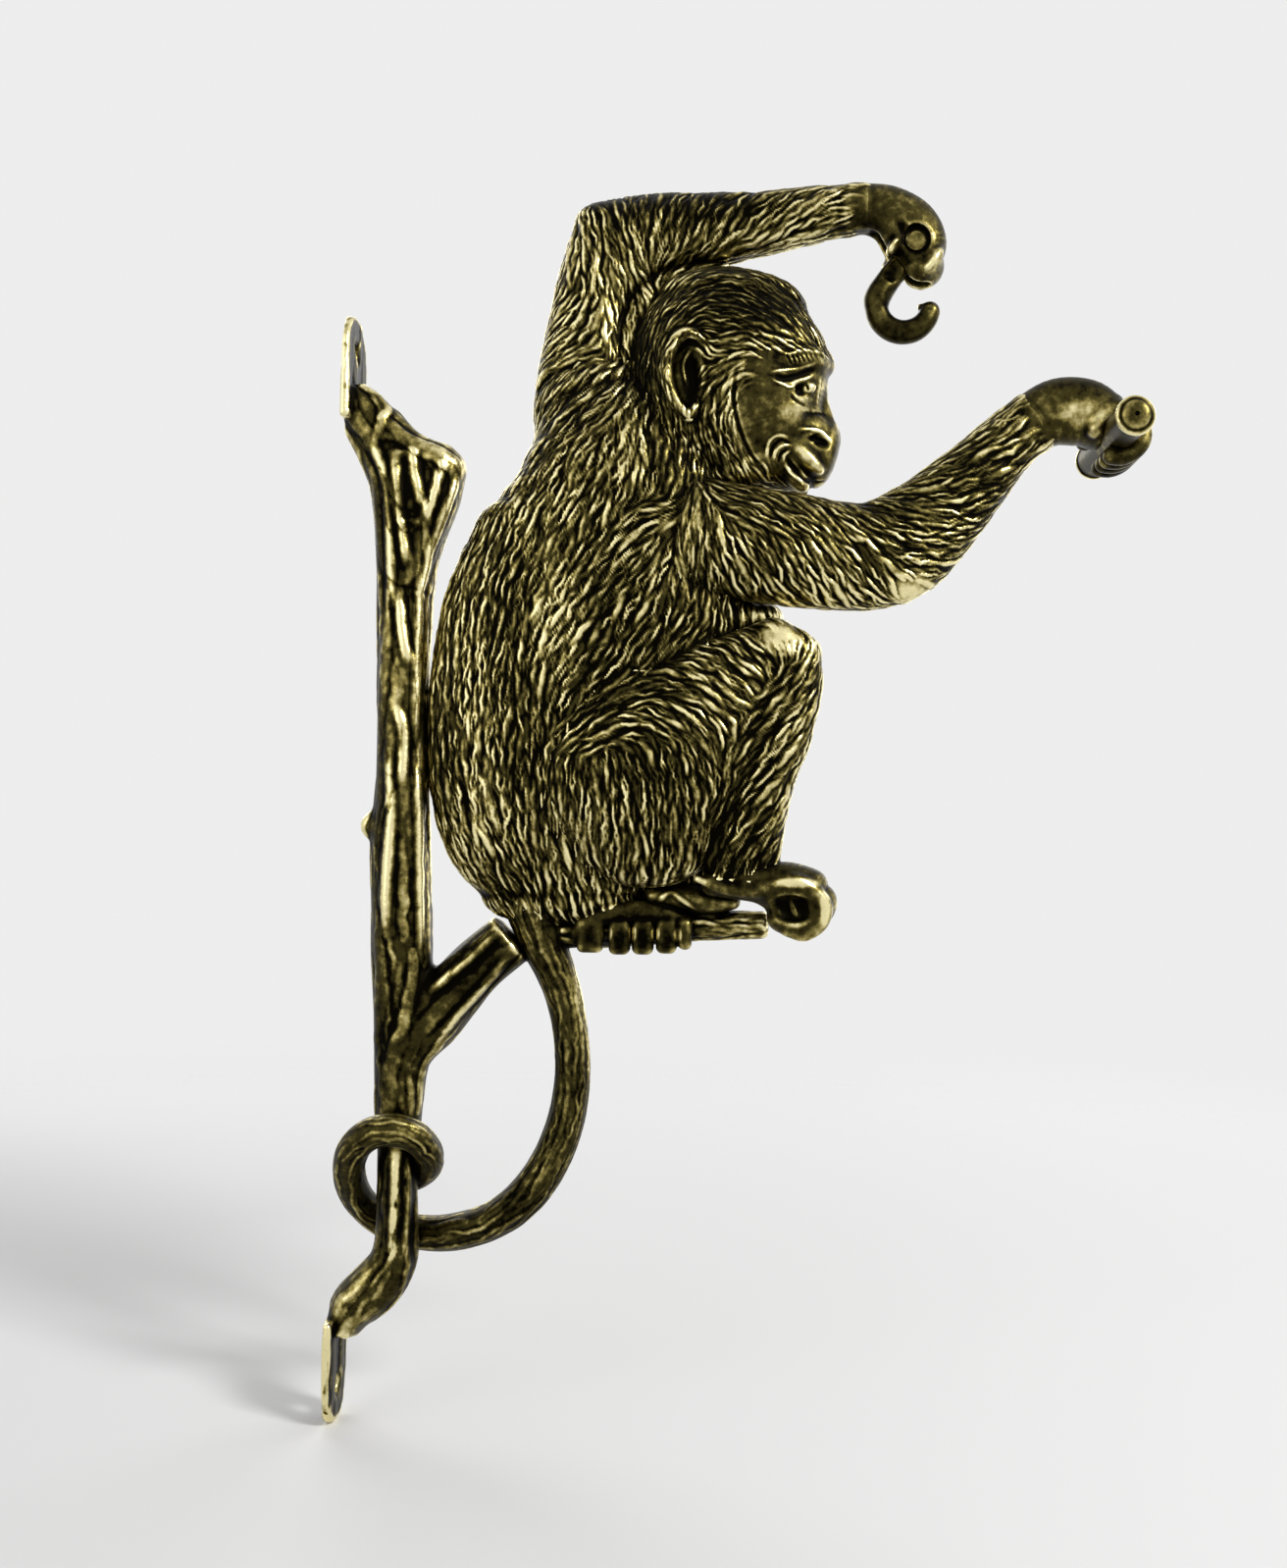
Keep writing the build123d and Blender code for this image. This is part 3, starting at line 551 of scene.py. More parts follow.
class Skin:
    """A closed surface of quads in millimetres, with what the carving needs to know of each point."""

    def __init__(self, points, quads):
        self.points = points
        self.quads = quads
        self.cells = {}
        self.set_normals()

    def set_normals(self):
        """Sets which way is out and how much area there is at each point."""
        corners = self.points[self.quads]
        cross = np.cross(corners[:, 2] - corners[:, 0], corners[:, 3] - corners[:, 1])
        normals = np.zeros_like(self.points)
        for i in range(4):
            for axis in range(3):
                normals[:, axis] += np.bincount(self.quads[:, i], cross[:, axis], len(self.points))
        size = np.linalg.norm(normals, axis=1)
        self.normals = normals / np.maximum(size, 1e-9)[:, None]
        self.area = size / 8

    def cell_table(self, reach):
        """The points sorted by the cell that each is in, for finding those nearby."""
        if reach not in self.cells:
            low = self.points.min(0) - 2 * reach
            count = np.ceil((self.points.max(0) + 2 * reach - low) / reach).astype(np.int64) + 1
            place = ((self.points - low) / reach).astype(np.int64)
            key = (place[:, 0] * count[1] + place[:, 1]) * count[2] + place[:, 2]
            order = np.argsort(key, kind="stable")
            self.cells[reach] = (low, count, key[order], order)
        return self.cells[reach]

    def around(self, spots, reach):
        """Every pair of a spot and a surface point within reach of it, with the distance."""
        low, count, keys, order = self.cell_table(reach)
        place = ((spots - low) / reach).astype(np.int64)
        inside = np.all((place >= 1) & (place < count - 1), axis=1)
        which = np.nonzero(inside)[0]
        place = place[inside]
        base = (place[:, 0] * count[1] + place[:, 1]) * count[2] + place[:, 2]
        found = []
        for i in (-1, 0, 1):
            for j in (-1, 0, 1):
                first = base + (i * count[1] + j) * count[2] - 1
                left = np.searchsorted(keys, first, "left")
                right = np.searchsorted(keys, first + 2, "right")
                number = right - left
                total = int(number.sum())
                if not total:
                    continue
                spot = np.repeat(np.arange(len(which)), number)
                step = np.arange(total) - np.repeat(np.cumsum(number) - number, number)
                point = order[left[spot] + step]
                gap = np.linalg.norm(self.points[point] - spots[which[spot]], axis=1)
                near = gap < reach
                found.append((which[spot[near]], point[near], gap[near]))
        if not found:
            return np.zeros(0, int), np.zeros(0, int), np.zeros(0)
        return tuple(np.concatenate(part) for part in zip(*found))

    def nearest(self, spots, reach):
        """The surface point nearest each spot, or -1."""
        spot, point, gap = self.around(spots, reach)
        order = np.lexsort((gap, spot))
        spot, point = spot[order], point[order]
        first = np.unique(spot, return_index=True)
        nearest = np.full(len(spots), -1)
        nearest[first[0]] = point[first[1]]
        return nearest

    def smoothed(self, values, rounds):
        """Values averaged with their neighbours', again and again."""
        edges = np.vstack([self.quads[:, (i, (i + 1) % 4)] for i in range(4)])
        count = np.maximum(np.bincount(edges[:, 0], minlength=len(self.points)), 1.0)
        values = values.astype(float).copy()
        columns = values.reshape(len(values), -1)
        for _ in range(rounds):
            for axis in range(columns.shape[1]):
                mean = np.bincount(edges[:, 0], columns[edges[:, 1], axis], len(self.points)) / count
                columns[:, axis] = 0.5 * columns[:, axis] + 0.5 * mean
        return values


def bump_shape(gap, reach):
    """The section of a carved strand: rounded on top and steep at its foot."""
    return np.sqrt(np.maximum(1 - (gap / reach) ** 2, 0))


def trace(skin, starts, lay, steps):
    """Lines along the surface from points of it, following the lay of the hair without turning back."""
    points = skin.points[starts]
    nearest = starts.copy()
    last = lay[starts]
    path = []
    for _ in range(steps):
        normal = skin.normals[nearest]
        way = lay[nearest]
        way = np.where(np.sum(way * last, 1)[:, None] < 0, -way, way)
        last = way
        way = way - normal * np.sum(way * normal, 1)[:, None]
        way = way / np.maximum(np.linalg.norm(way, axis=1), 1e-6)[:, None]
        points = points + way * TRACE_STEP
        found = skin.nearest(points, TRACE_REACH)
        nearest = np.where(found >= 0, found, nearest)
        normal = skin.normals[nearest]
        lift = np.sum((points - skin.points[nearest]) * normal, 1)
        points = points - normal * lift[:, None]
        path.append(points)
    return np.stack(path, 1)


def raise_strands(skin, paths, radii, heights, relief):
    """Lifts relief along strands: each path is a row of places, each strand has its radius and height."""
    steps = paths.shape[1]
    at = np.linspace(0, steps - 1, (steps - 1) * TRACE_FINE + 1)
    low = np.minimum(at.astype(int), steps - 2)
    part = (at - low)[None, :, None]
    dense = paths[:, low] * (1 - part) + paths[:, low + 1] * part
    along = at / (steps - 1)
    taper = np.sin(np.pi * (0.06 + 0.9 * along)) ** 0.7
    spots = dense.reshape(-1, 3)
    height = (heights[:, None] * taper[None, :]).ravel()
    radius = (radii[:, None] * (0.55 + 0.45 * taper[None, :])).ravel()
    reach = float(radii.max())
    for low in range(0, len(spots), BATCH):
        part = slice(low, low + BATCH)
        spot, point, gap = skin.around(spots[part], reach)
        lift = height[part][spot] * bump_shape(gap, radius[part][spot])
        np.maximum.at(relief, point, lift)


def guided(px, guides):
    """The line along which the hair lies at places of the side view, from the guides near them."""
    guides = np.asarray(guides, float)
    ways = guides[:, 2:] / np.linalg.norm(guides[:, 2:], axis=1)[:, None]
    gap = ((px[:, None, :] - guides[None, :, :2]) ** 2).sum(2)
    weight = 1 / (gap + GUIDE_BLUR) ** 1.6
    turn = np.arctan2(ways[:, 1], ways[:, 0])
    twice = weight @ np.stack((np.cos(2 * turn), np.sin(2 * turn)), 1)
    turn = 0.5 * np.arctan2(twice[:, 1], twice[:, 0])
    right, down = np.cos(turn), np.sin(turn)
    out = right * math.cos(LEAN) + down * math.sin(LEAN)
    up = right * math.sin(LEAN) - down * math.cos(LEAN)
    way = np.stack((out, np.zeros(len(px)), up), 1)
    return way / np.maximum(np.linalg.norm(way, axis=1), 1e-6)[:, None]


def from_zone(px, zone):
    """How far places of the side view are from a zone's middle, 1 at its edge."""
    x, y, wide, high, _ = zone
    return np.sqrt(((px[:, 0] - x) / wide) ** 2 + ((px[:, 1] - y) / high) ** 2)


def bare(px, zones):
    """1 on hair and 0 on the bare places of the side view."""
    hair = np.ones(len(px))
    for zone in zones:
        edge = HAIR_EDGE_PX / max(zone[2:4]) / 2
        hair = np.minimum(hair, eased(from_zone(px, zone), 1 - edge, 1 + edge))
    return hair


def rubbed_and_painted_light(px, zones):
    """How far handling polishes each place of the side view and painted highlights and painted shade lighten
    or darken it, fading out round every zone.
    """
    wear_and_painted_light = np.zeros(len(px))
    for zone in zones:
        wear_and_painted_light += zone[4] * (1 - eased(from_zone(px, zone), 0.45, 1.15))
    return wear_and_painted_light


def front_line(skin, px_line, side):
    """Places on one side of a surface under a line drawn on the side view."""
    line = through(np.asarray(px_line, float), 12)
    run = np.concatenate(((0,), np.cumsum(np.hypot(*np.diff(line, axis=0).T))))
    even = np.linspace(0, run[-1], max(int(run[-1] / 1.5), 8))
    line = np.column_stack((np.interp(even, run, line[:, 0]), np.interp(even, run, line[:, 1])))
    # Its depth is found in rounds, since where a pixel lies depends on how near it is to the camera
    depth = np.full(len(line), 10.0)
    candidates = np.nonzero(skin.normals[:, 1] * side > 0.05)[0]
    places = skin.points[candidates]
    for _ in range(3):
        flat = np.array([seen_mm(px, d) for px, d in zip(line, depth)])
        gap = (flat[:, 0, None] - places[None, :, 0]) ** 2 + (flat[:, 1, None] - places[None, :, 2]) ** 2
        reach = np.where(gap < 0.7**2, places[None, :, 1] * side, -99)
        best = reach.max(1)
        depth = np.where(best > -90, best, places[gap.argmin(1), 1] * side)
        depth = np.convolve(np.pad(depth, 3, mode="edge"), np.ones(7) / 7, "valid")
    return np.column_stack((flat[:, 0], depth * side, flat[:, 1]))


def draw(skin, line, radius, height, relief):
    """Lifts relief along one line of places, highest at its middle."""
    run = np.linspace(0, 1, len(line))
    taper = eased(np.minimum(run, 1 - run), -0.03, 0.2)
    spot, point, gap = skin.around(line, radius)
    share = np.cos(np.clip(gap / radius, 0, 1) * np.pi / 2) ** 1.3
    np.maximum.at(relief, point, height * taper[spot] * share)


# Pieces of the bracket, as forms


def run_of(rows, side=1):
    """Places under a line of the side view. Each row is a pixel and how far it lies to one side, in mm."""
    places = []
    for x, y, depth in rows:
        out, up = seen_mm((x, y), depth)
        places.append((out, side * depth, up))
    return places


def ear_plate(screw_up, root_up):
    """One screw ear of the branch, a thin plate with a round end."""
    low_up, high_up = sorted((screw_up, root_up))
    return [
        (Slab((0, -EAR_HALF_WIDTH, low_up), (EAR_THICK, EAR_HALF_WIDTH, high_up), 0.4), 1.5),
        (Disc((EAR_THICK / 2, 0.0, screw_up), 0, EAR_HALF_WIDTH, EAR_THICK / 2, 0.4), 0.1),
    ]


def ear_rim(side):
    """The rolled rim of one ear."""
    rows = (
        (722, 362, 13.2), (712, 346, 14.4), (698, 340, 15.3), (686, 352, 15.9), (680, 374, 16.0),
        (684, 398, 15.7), (692, 414, 15.1), (703, 424, 14.4), (708, 414, 14.0),
    )
    return Rod(run_of(rows, side), (1.0, 1.4, 1.55, 1.6, 1.6, 1.6, 1.5, 1.3, 0.9))


def head_node():
    """Skull, muzzle, brow, nose, cheeks, lips and ears, with sunk eyes."""
    adds = [Limb(SKULL, 0.68, 0.7, 2.1), (Limb(MUZZLE, 0.3, 0.6, 2.2), 3.0)]
    brow = ((798, 366, 12.4), (815, 366, 10.6), (830, 368, 7.0), (839, 371, 2.5), (841, 373, 0.0))
    nose = ((834, 392, 0.0), (837, 410, 0.0), (842, 430, 0.0), (846, 448, 0.0))
    adds.append((Rod(run_of(nose), (1.6, 1.9, 2.3, 2.2)), 2.0))
    cuts, eyes = [], []
    for side in (-1, 1):
        adds += [
            (Rod(run_of(brow, side), (0.9, 1.6, 2.0, 2.1, 2.1)), 2.0),
            (Blob((786, 412), side * 9.5, 30, 30, 4.2), 4.0),  # cheek
            (Blob((820, 465), side * 6.4, 25, 9, 3.2, -42), 1.6),  # upper lip
            (Blob((813, 490), side * 4.6, 14, 9, 3.2, -40), 2.0),  # chin
            (ear_rim(side), 0.8),
        ]
        cuts += [
            Blob((822, 395), side * 11.4, 13, 6.5, 2.0, 20),  # eye socket
            Blob((702, 382), side * 17.2, 13, 30, 4.4, 6),  # ear
            Blob((836, 449), side * 7.0, 9, 5, 1.0, -25),  # nostril
        ]
        eyes.append(Blob((823, 396), side * 8.6, 9, 6, 1.5, 20))
    return Node(adds, cuts, cut_blend=1.2, late=eyes)


def tail_form():
    """The tail, one round rod that winds about the branch's foot."""
    rows = rows_of(TAIL)
    places = frame_mm(rows[:, :2])
    points = np.column_stack((places[:, 0], rows[:, 4] * HALF, places[:, 1]))
    return Rod(points, 0.5 * (rows[:, 2] * MM_PER_PX + rows[:, 3] * HALF))


def arc(middle, radius, start, end, steps):
    """Places on an arc in the side view, angles in degrees from +X towards +Z."""
    turns = np.radians(np.linspace(start, end, steps))
    out, up = middle[0] + radius * np.cos(turns), middle[1] + radius * np.sin(turns)
    return np.column_stack((out, np.zeros(steps), up))


PIN = frame_mm((931, 254))
THROAT = frame_mm((921, 311))  # the middle of the hook's bend
HOOK_TIP = frame_mm((950, 319))
BAR = frame_mm((1135, 448))
BEND = 7.3  # from the throat to the middle of the hook's wire
EYE_HALF = 2.0  # half the thickness of the hook's eye and neck
PIN_HOLE = 2.3
SLOT_HALF = 2.3
SCREW_UP = 138.0  # how far each screw is above or below the frame's origin
EAR_HALF_WIDTH = 9.5
EAR_THICK = 2.2
SCREW_HOLE = 2.2


def hook_node():
    """The swinging hook: a flat eye, a neck, a round bend and a nib at its tip."""
    to_pin = PIN - THROAT
    neck = math.degrees(math.atan2(to_pin[1], to_pin[0]) + math.acos(BEND / np.hypot(*to_pin)))
    tip = math.degrees(math.atan2(*(HOOK_TIP - THROAT)[::-1])) + 360
    bend = arc(THROAT, BEND, neck, tip, 16)
    eye = np.array((PIN[0], 0.0, PIN[1]))
    line = np.vstack((eye, eye * 0.55 + bend[0] * 0.45, bend))
    radii = np.concatenate(((1.9, 2.1, 2.9), np.full(10, 3.15), np.linspace(3.15, 2.8, 5)))
    across = np.array((to_pin[1], 0, -to_pin[0])) / np.hypot(*to_pin)
    shoulder = np.vstack((eye * 0.7 + bend[0] * 0.3, eye * 0.3 + bend[0] * 0.7, bend[2]))
    spread = np.array(((1.5,), (1.2,), (0.0,)))
    nib = frame_mm((938, 313))
    adds = [
        Rod(line, radii, 2),
        (Rod(shoulder - across * spread, (1.9, 2.2, 2.9)), 1.6),
        (Rod(shoulder + across * spread, (1.9, 2.1, 2.8)), 1.6),
        (Disc(eye, 1, 4.9, EYE_HALF, 0.5), 1.4),
        (Rod(((nib[0] + 1.5, 0, nib[1] - 0.4), (nib[0], 0, nib[1])), (1.1, 0.8), 1), 0.8),
    ]
    cuts = [Disc(eye, 1, PIN_HOLE, 4.0, 0.1)]
    flat = 2.5
    for side in (-1, 1):
        cuts.append(Disc((eye[0], side * (EYE_HALF + flat), eye[2]), 1, 12.2, flat, 2.2))
    return Node(adds, cuts, cut_blend=0.5)


def raised_hand_node():
    """The closed hand that holds the hook's pin, slotted for the hook's eye and neck."""
    eye = (PIN[0], 0.0, PIN[1])
    adds = [Limb(RAISED_HAND, 0.3, 1.0, 2.2)]
    cuts = [Disc(eye, 1, 5.8, SLOT_HALF, 0.2)]
    for side in (-1, 1):
        adds += [
            (Blob((951, 266), side * 5.4, 15, 7, 2.6, 56), 2.0),
            (Blob((911, 251), side * 5.4, 11, 5, 2.4, 54), 1.2),
        ]
        cuts += [
            Disc((eye[0], side * 7.9, eye[2]), 1, 3.9, 2.3, 1.2),  # the pin's seat
            Blob((932, 254), side * 8.3, 20, 19, 2.4),
            Blob((921, 233), side * 8.4, 16, 8, 2.4, 118),
        ]
    # The slot, as far round the pin as the neck swings
    for angle in range(-193, -70, 9):
        turn = math.radians(angle)
        outer = (PIN[0] + 13 * math.cos(turn), 0.0, PIN[1] + 13 * math.sin(turn))
        cuts.append(Rod((eye, outer), (SLOT_HALF + 0.05, SLOT_HALF + 0.05), 1))
    return Node(adds, cuts, cut_blend=0.7)


def reaching_hand_node():
    """The palm, and four fingers closed round the cross bar."""
    adds = [Limb(PALM, 0.3, 0.6, 2.3)]
    for finger in range(4):
        curl = arc(BAR, 6.35, 172, -108, 14)
        curl[:, 1] = (finger - 1.5) * 4.1
        swell = 2.15 + 0.22 * np.cos(np.linspace(0, 3 * np.pi, 14)) ** 2
        adds.append((Rod(curl, swell, 2), 0.5 if finger else 1.0))
    return Node(adds, [Disc((BAR[0], 0.0, BAR[1]), 1, 4.6, 30, 0.1)], blend=1.5, cut_blend=0.2)


def near_foot_node():
    """The foot that hangs past the twig's end, a rolled rim round a hollow with toes in it."""
    rim = (
        (711, 896, 11.6), (737, 906, 12.4), (765, 909, 12.8), (787, 904, 13.2), (809, 898, 13.4),
        (828, 907, 12.8), (840, 923, 11.6), (837, 941, 11.0), (820, 953, 10.6), (803, 949, 10.8),
    )
    toes = (
        ((790, 922, 11.2), (794, 932, 11.2), (799, 940, 11.0)),
        ((806, 918, 11.4), (810, 930, 11.4), (815, 939, 11.0)),
        ((823, 917, 11.2), (828, 927, 11.0), (827, 935, 10.8)),
    )
    adds = [
        Limb(NEAR_FOOT, 1.0, 1.0, 2.2), (Blob((808, 936), -9.0, 26, 17, 4.6), 2.0),
        (Rod(run_of(rim, -1), (0.9, 1.3, 1.5, 1.7, 1.9, 2.0, 2.0, 1.9, 1.7, 1.4)), 1.4),
    ]
    late = [Rod(run_of(toe, -1), (0.8, 1.05, 0.8)) for toe in toes]
    return Node(adds, [Blob((808, 928), -14.9, 26, 15, 3.6, -4)], blend=1.5, cut_blend=0.8, late=late)


def far_foot_node():
    """The foot behind the twig: a sole that arches over to the near side, and five blocky toes below it."""
    adds = [Limb(FAR_FOOT, 1.0, 1.0, 2.2), (Limb(HEEL, 1.0, 1.0), 1.5)]
    sole = (
        (589, 950, 4.0), (600, 939, 4.2), (620, 931, 4.4), (646, 928, 4.4), (674, 931, 4.2), (699, 939, 3.8),
    )
    adds.append((Rod(run_of(sole, -1), (2.0, 2.5, 2.8, 2.8, 2.5, 1.8)), 1.0))
    toes = ((601, 3.5, 971), (631, 2.8, 973), (655, 2.8, 973), (679, 2.7, 972), (698, 1.8, 968))
    for x, wide, foot_px in toes:
        out, low = seen_mm((x, foot_px), 5.0)
        up = seen_mm((x, 936), 5.0)[1]
        adds.append((Slab((out - wide, -6.8, low), (out + wide, -1.5, up), min(wide - 0.2, 1.7)), 1.1))
    return Node(adds, [Limb(TWIG, 0.3, 0.3)], blend=1.0, cut_blend=0.1)


def branch_node():
    """The stem with its crown, knot and stub, and the two screw ears."""
    adds = [
        Limb(STEM, 0.3, 0.3, 2.1), (Limb(CROWN, 0.3, 1.0, 2.1), 2.5), (Limb(CROWN_WEB), 2.5),
        (Limb(CROWN_FILL), 2.5), (Limb(BARK_KNOT, 0.3, 1.0), 2.0), (Limb(STUB, 0.3, 0.25, 2.3), 2.5),
    ]
    cuts = [Slab((-30, -30, -190), (0, 30, 190), 0.0)]
    for screw_up, root_up in ((SCREW_UP, 118.9), (-SCREW_UP, -119.5)):
        adds += ear_plate(screw_up, root_up)
        cuts.append(Disc((EAR_THICK / 2, 0.0, screw_up), 0, SCREW_HOLE, 4, 0.0))
        cuts.append(Disc((2.6, 0.0, screw_up), 0, 3.3, 0.9, 0.4))
    return Node(adds, cuts, cut_blend=0.2)


def leg_node(shin, flip):
    """A thigh drawn up to the knee, and the shin below it."""
    return Node([Limb(THIGH, 2.6, 1.0, 2.2, flip), (Limb(shin, 1.0, 0.3, 2.1, flip), 1.6)])


NODES = {
    "torso": Node([Limb(TORSO, 1.0, 1.0, 2.15), (Limb(BELLY_FOLD, 0.3, 1.0), 1.5)]),
    "head": head_node(),
    "raised_arm": Node([
        Limb(RAISED_ARM, 0.3, 0.3, 2.15), (Limb(NAPE_WEB, 0.3, 0.3), 1.0),
        (Blob((611, 223), 3.4, 26, 25, 7.6), 2.0),  # elbow
    ]),
    "raised_hand": raised_hand_node(),
    "reaching_arm": Node([Limb(REACHING_ARM, 0.8, 0.3, 2.15)]),
    "reaching_hand": reaching_hand_node(),
    "near_leg": leg_node(NEAR_SHIN, True),
    "near_foot": near_foot_node(),
    "far_leg": leg_node(FAR_SHIN, False),
    "far_foot": far_foot_node(),
    "perch_twig": Node([Limb(TWIG, 0.3, 0.3, 2.0)]),
    "tail": Node([tail_form()]),
    "branch": branch_node(),
    "hook": hook_node(),
}
APART = ("hook",)


def skin_of(points, quads):
    """A closed surface with its quads facing out."""
    solid = np.sum(points[quads[:, 0]] * np.cross(points[quads[:, 1]], points[quads[:, 2]]))
    return Skin(points, quads if solid > 0 else quads[:, ::-1])


def carve_skin(name, pitch):
    """The closed surface of one piece. Where it meets its neighbours it runs on a little under them."""
    node = NODES[name]
    low, high = node.box()
    low, high = low - ROOM, high + ROOM
    grid = Grid(low, high, pitch)
    own = node.measure(grid)
    whole = own
    past = np.full(grid.shape, -FAR)
    if name not in APART:
        others = np.full(grid.shape, FAR, np.float32)
        for other, its in NODES.items():
            its_low, its_high = its.box()
            if other == name or other in APART or np.any(its_low > high) or np.any(its_high < low):
                continue
            others = np.minimum(others, its.measure(grid))
        past = 0.5 * (own - others)
        whole = melt(own, others, JOIN_FILLET)
        whole = np.maximum(whole + SINKING * np.maximum(past, 0), past - OVERLAP)
    for form in node.late:
        whole = melt(whole, field(form, grid), LATE_FILLET)
    band = 3 * pitch
    volume = openvdb.FloatGrid(band)
    volume.copyFromArray(np.clip(whole, -band, band).astype(np.float32))
    places, quads = volume.convertToQuads(isovalue=0.0)
    places = np.asarray(places, float)
    cell = np.clip(np.round(places).astype(int), 0, np.array(grid.shape) - 1)
    skin = skin_of(places * pitch + grid.low, np.asarray(quads, int))
    skin.past = past[cell[:, 0], cell[:, 1], cell[:, 2]]
    return skin


def lay_along(points, lines):
    """The way along whichever line of places runs nearest each point."""
    places = np.vstack([(line[1:] + line[:-1]) / 2 for line in lines])
    ways = np.vstack([line[1:] - line[:-1] for line in lines])
    ways /= np.linalg.norm(ways, axis=1)[:, None]
    lay = np.zeros_like(points)
    for start in range(0, len(points), LAY_BATCH):
        part = points[start:start + LAY_BATCH]
        gap = ((part[:, None, :] - places[None, :, :]) ** 2).sum(2)
        weight = 1 / (gap + LINE_BLUR) ** 3
        lay[start:start + LAY_BATCH] = weight @ ways
    return lay / np.maximum(np.linalg.norm(lay, axis=1), 1e-6)[:, None]


def axis_of(table):
    """The middle line of a limb, in the frame."""
    rows = through(rows_of(table), 3)
    places = frame_mm(rows[:, :2])
    return np.column_stack((places[:, 0], rows[:, 4] * HALF, places[:, 1]))


def carve_strands(skin, lay, keep, rng, relief, width, length, height, per_cm2):
    """Carves strands all over a surface where keep is above 0, each laid half either way from its middle."""
    weight = skin.area * (keep > 0.05) * (skin.past < 0.5)
    count = int(weight.sum() / 100 * per_cm2)
    if count < 1:
        return
    starts = rng.choice(len(weight), count, p=weight / weight.sum())
    side = np.cross(skin.normals, lay)
    wave = np.sin(skin.points @ np.array((0.83, 0.31, 0.57)))
    wave = wave + np.sin(skin.points @ np.array((-0.41, 0.27, 0.93)) + 2)
    aside = side * (STRAND_WAVE * wave)[:, None]
    steps = max(int(round(length / (2 * TRACE_STEP))), 2)
    ahead = trace(skin, starts, lay + aside, steps)
    behind = trace(skin, starts, -lay + aside, steps)
    paths = np.concatenate((behind[:, ::-1], skin.points[starts][:, None, :], ahead), 1)
    bow = np.sin(np.linspace(-1.5, 1.5, paths.shape[1]))[None, :, None]
    bow = bow * rng.normal(0, 0.35, count)[:, None, None]
    paths = paths + side[starts][:, None, :] * bow
    radii = 0.5 * width * rng.uniform(0.75, 1.3, count)
    heights = height * rng.uniform(0.45, 1.15, count) * np.clip(keep[starts], 0, 1)
    raise_strands(skin, paths, radii, heights, relief)


def lines_on(skin, lines, relief):
    """Draws ridges and grooves of the side view on both sides. A line's height below 0 is a groove."""
    for px_line, radius, height in lines:
        for side in (-1, 1):
            line = front_line(skin, px_line, side)
            lift = np.zeros(len(relief))
            draw(skin, line, radius, abs(height), lift)
            relief += lift if height > 0 else -lift


def make_piece(name, skin, relief, wear_and_painted_light, body, material, node):
    """Turns a carved surface into a piece that rides on its body and stands for its node. It leaves the
    finish four values: how far each place stands out of the carving and out of the form, how far it is from a
    seam, and how far handling polishes it and painted highlights and painted shade lighten or darken it."""
    points = skin.smoothed(skin.points, 2) + skin.normals * relief[:, None]
    if node == "branch":
        # Nothing goes into the wall
        points[:, 0] = np.maximum(points[:, 0], 0)
    carved = Skin(points, skin.quads)
    soft = carved.smoothed(points, 10)
    broad = carved.smoothed(soft, 40)
    crest = np.clip(0.5 + np.sum((points - soft) * carved.normals, 1) / 0.5, 0, 1)
    hollow = np.clip(0.5 + np.sum((soft - broad) * carved.normals, 1) / 1.6, 0, 1)
    seam = eased(np.abs(skin.past), 0.0, 1.6)
    mesh = bpy.data.meshes.new(name)
    mesh.vertices.add(len(points))
    mesh.vertices.foreach_set("co", (points / 1000).astype(np.float32).ravel())
    mesh.loops.add(skin.quads.size)
    mesh.loops.foreach_set("vertex_index", skin.quads.astype(np.int32).ravel())
    mesh.polygons.add(len(skin.quads))
    mesh.polygons.foreach_set("loop_start", np.arange(0, skin.quads.size, 4, dtype=np.int32))
    mesh.polygons.foreach_set("use_smooth", np.ones(len(skin.quads), bool))
    mesh.update(calc_edges=True)
    mesh.validate()
    for label, values in {"crest": crest, "hollow": hollow, "seam": seam, "wear_and_painted_light": wear_and_painted_light}.items():
        layer = mesh.attributes.new(label, "FLOAT", "POINT")
        layer.data.foreach_set("value", values.astype(np.float32))
    mesh.materials.append(material)
    piece = bpy.data.objects.new(name, mesh)
    bpy.context.scene.collection.objects.link(piece)
    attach(piece, body)
    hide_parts(node)


# Finishes


class Tone:
    """A socket. Sums with numbers and other sockets add their own nodes."""

    def __init__(self, finish, socket):
        self.finish = finish
        self.socket = socket

    def __add__(self, other):
        return self.finish.sum_of("ADD", self, other)

    __radd__ = __add__

    def __sub__(self, other):
        return self.finish.sum_of("SUBTRACT", self, other)

    def __rsub__(self, other):
        return self.finish.sum_of("SUBTRACT", other, self)

    def __mul__(self, other):
        return self.finish.sum_of("MULTIPLY", self, other)

    __rmul__ = __mul__

    def __or__(self, other):
        """The greater of two."""
        return self.finish.sum_of("MAXIMUM", self, other)

    def eased(self, low, high):
        """0 below low, 1 above high, smooth between."""
        kind = {"interpolation_type": "SMOOTHSTEP"}
        return self.finish.add("ShaderNodeMapRange", kind, {0: self, 1: low, 2: high})


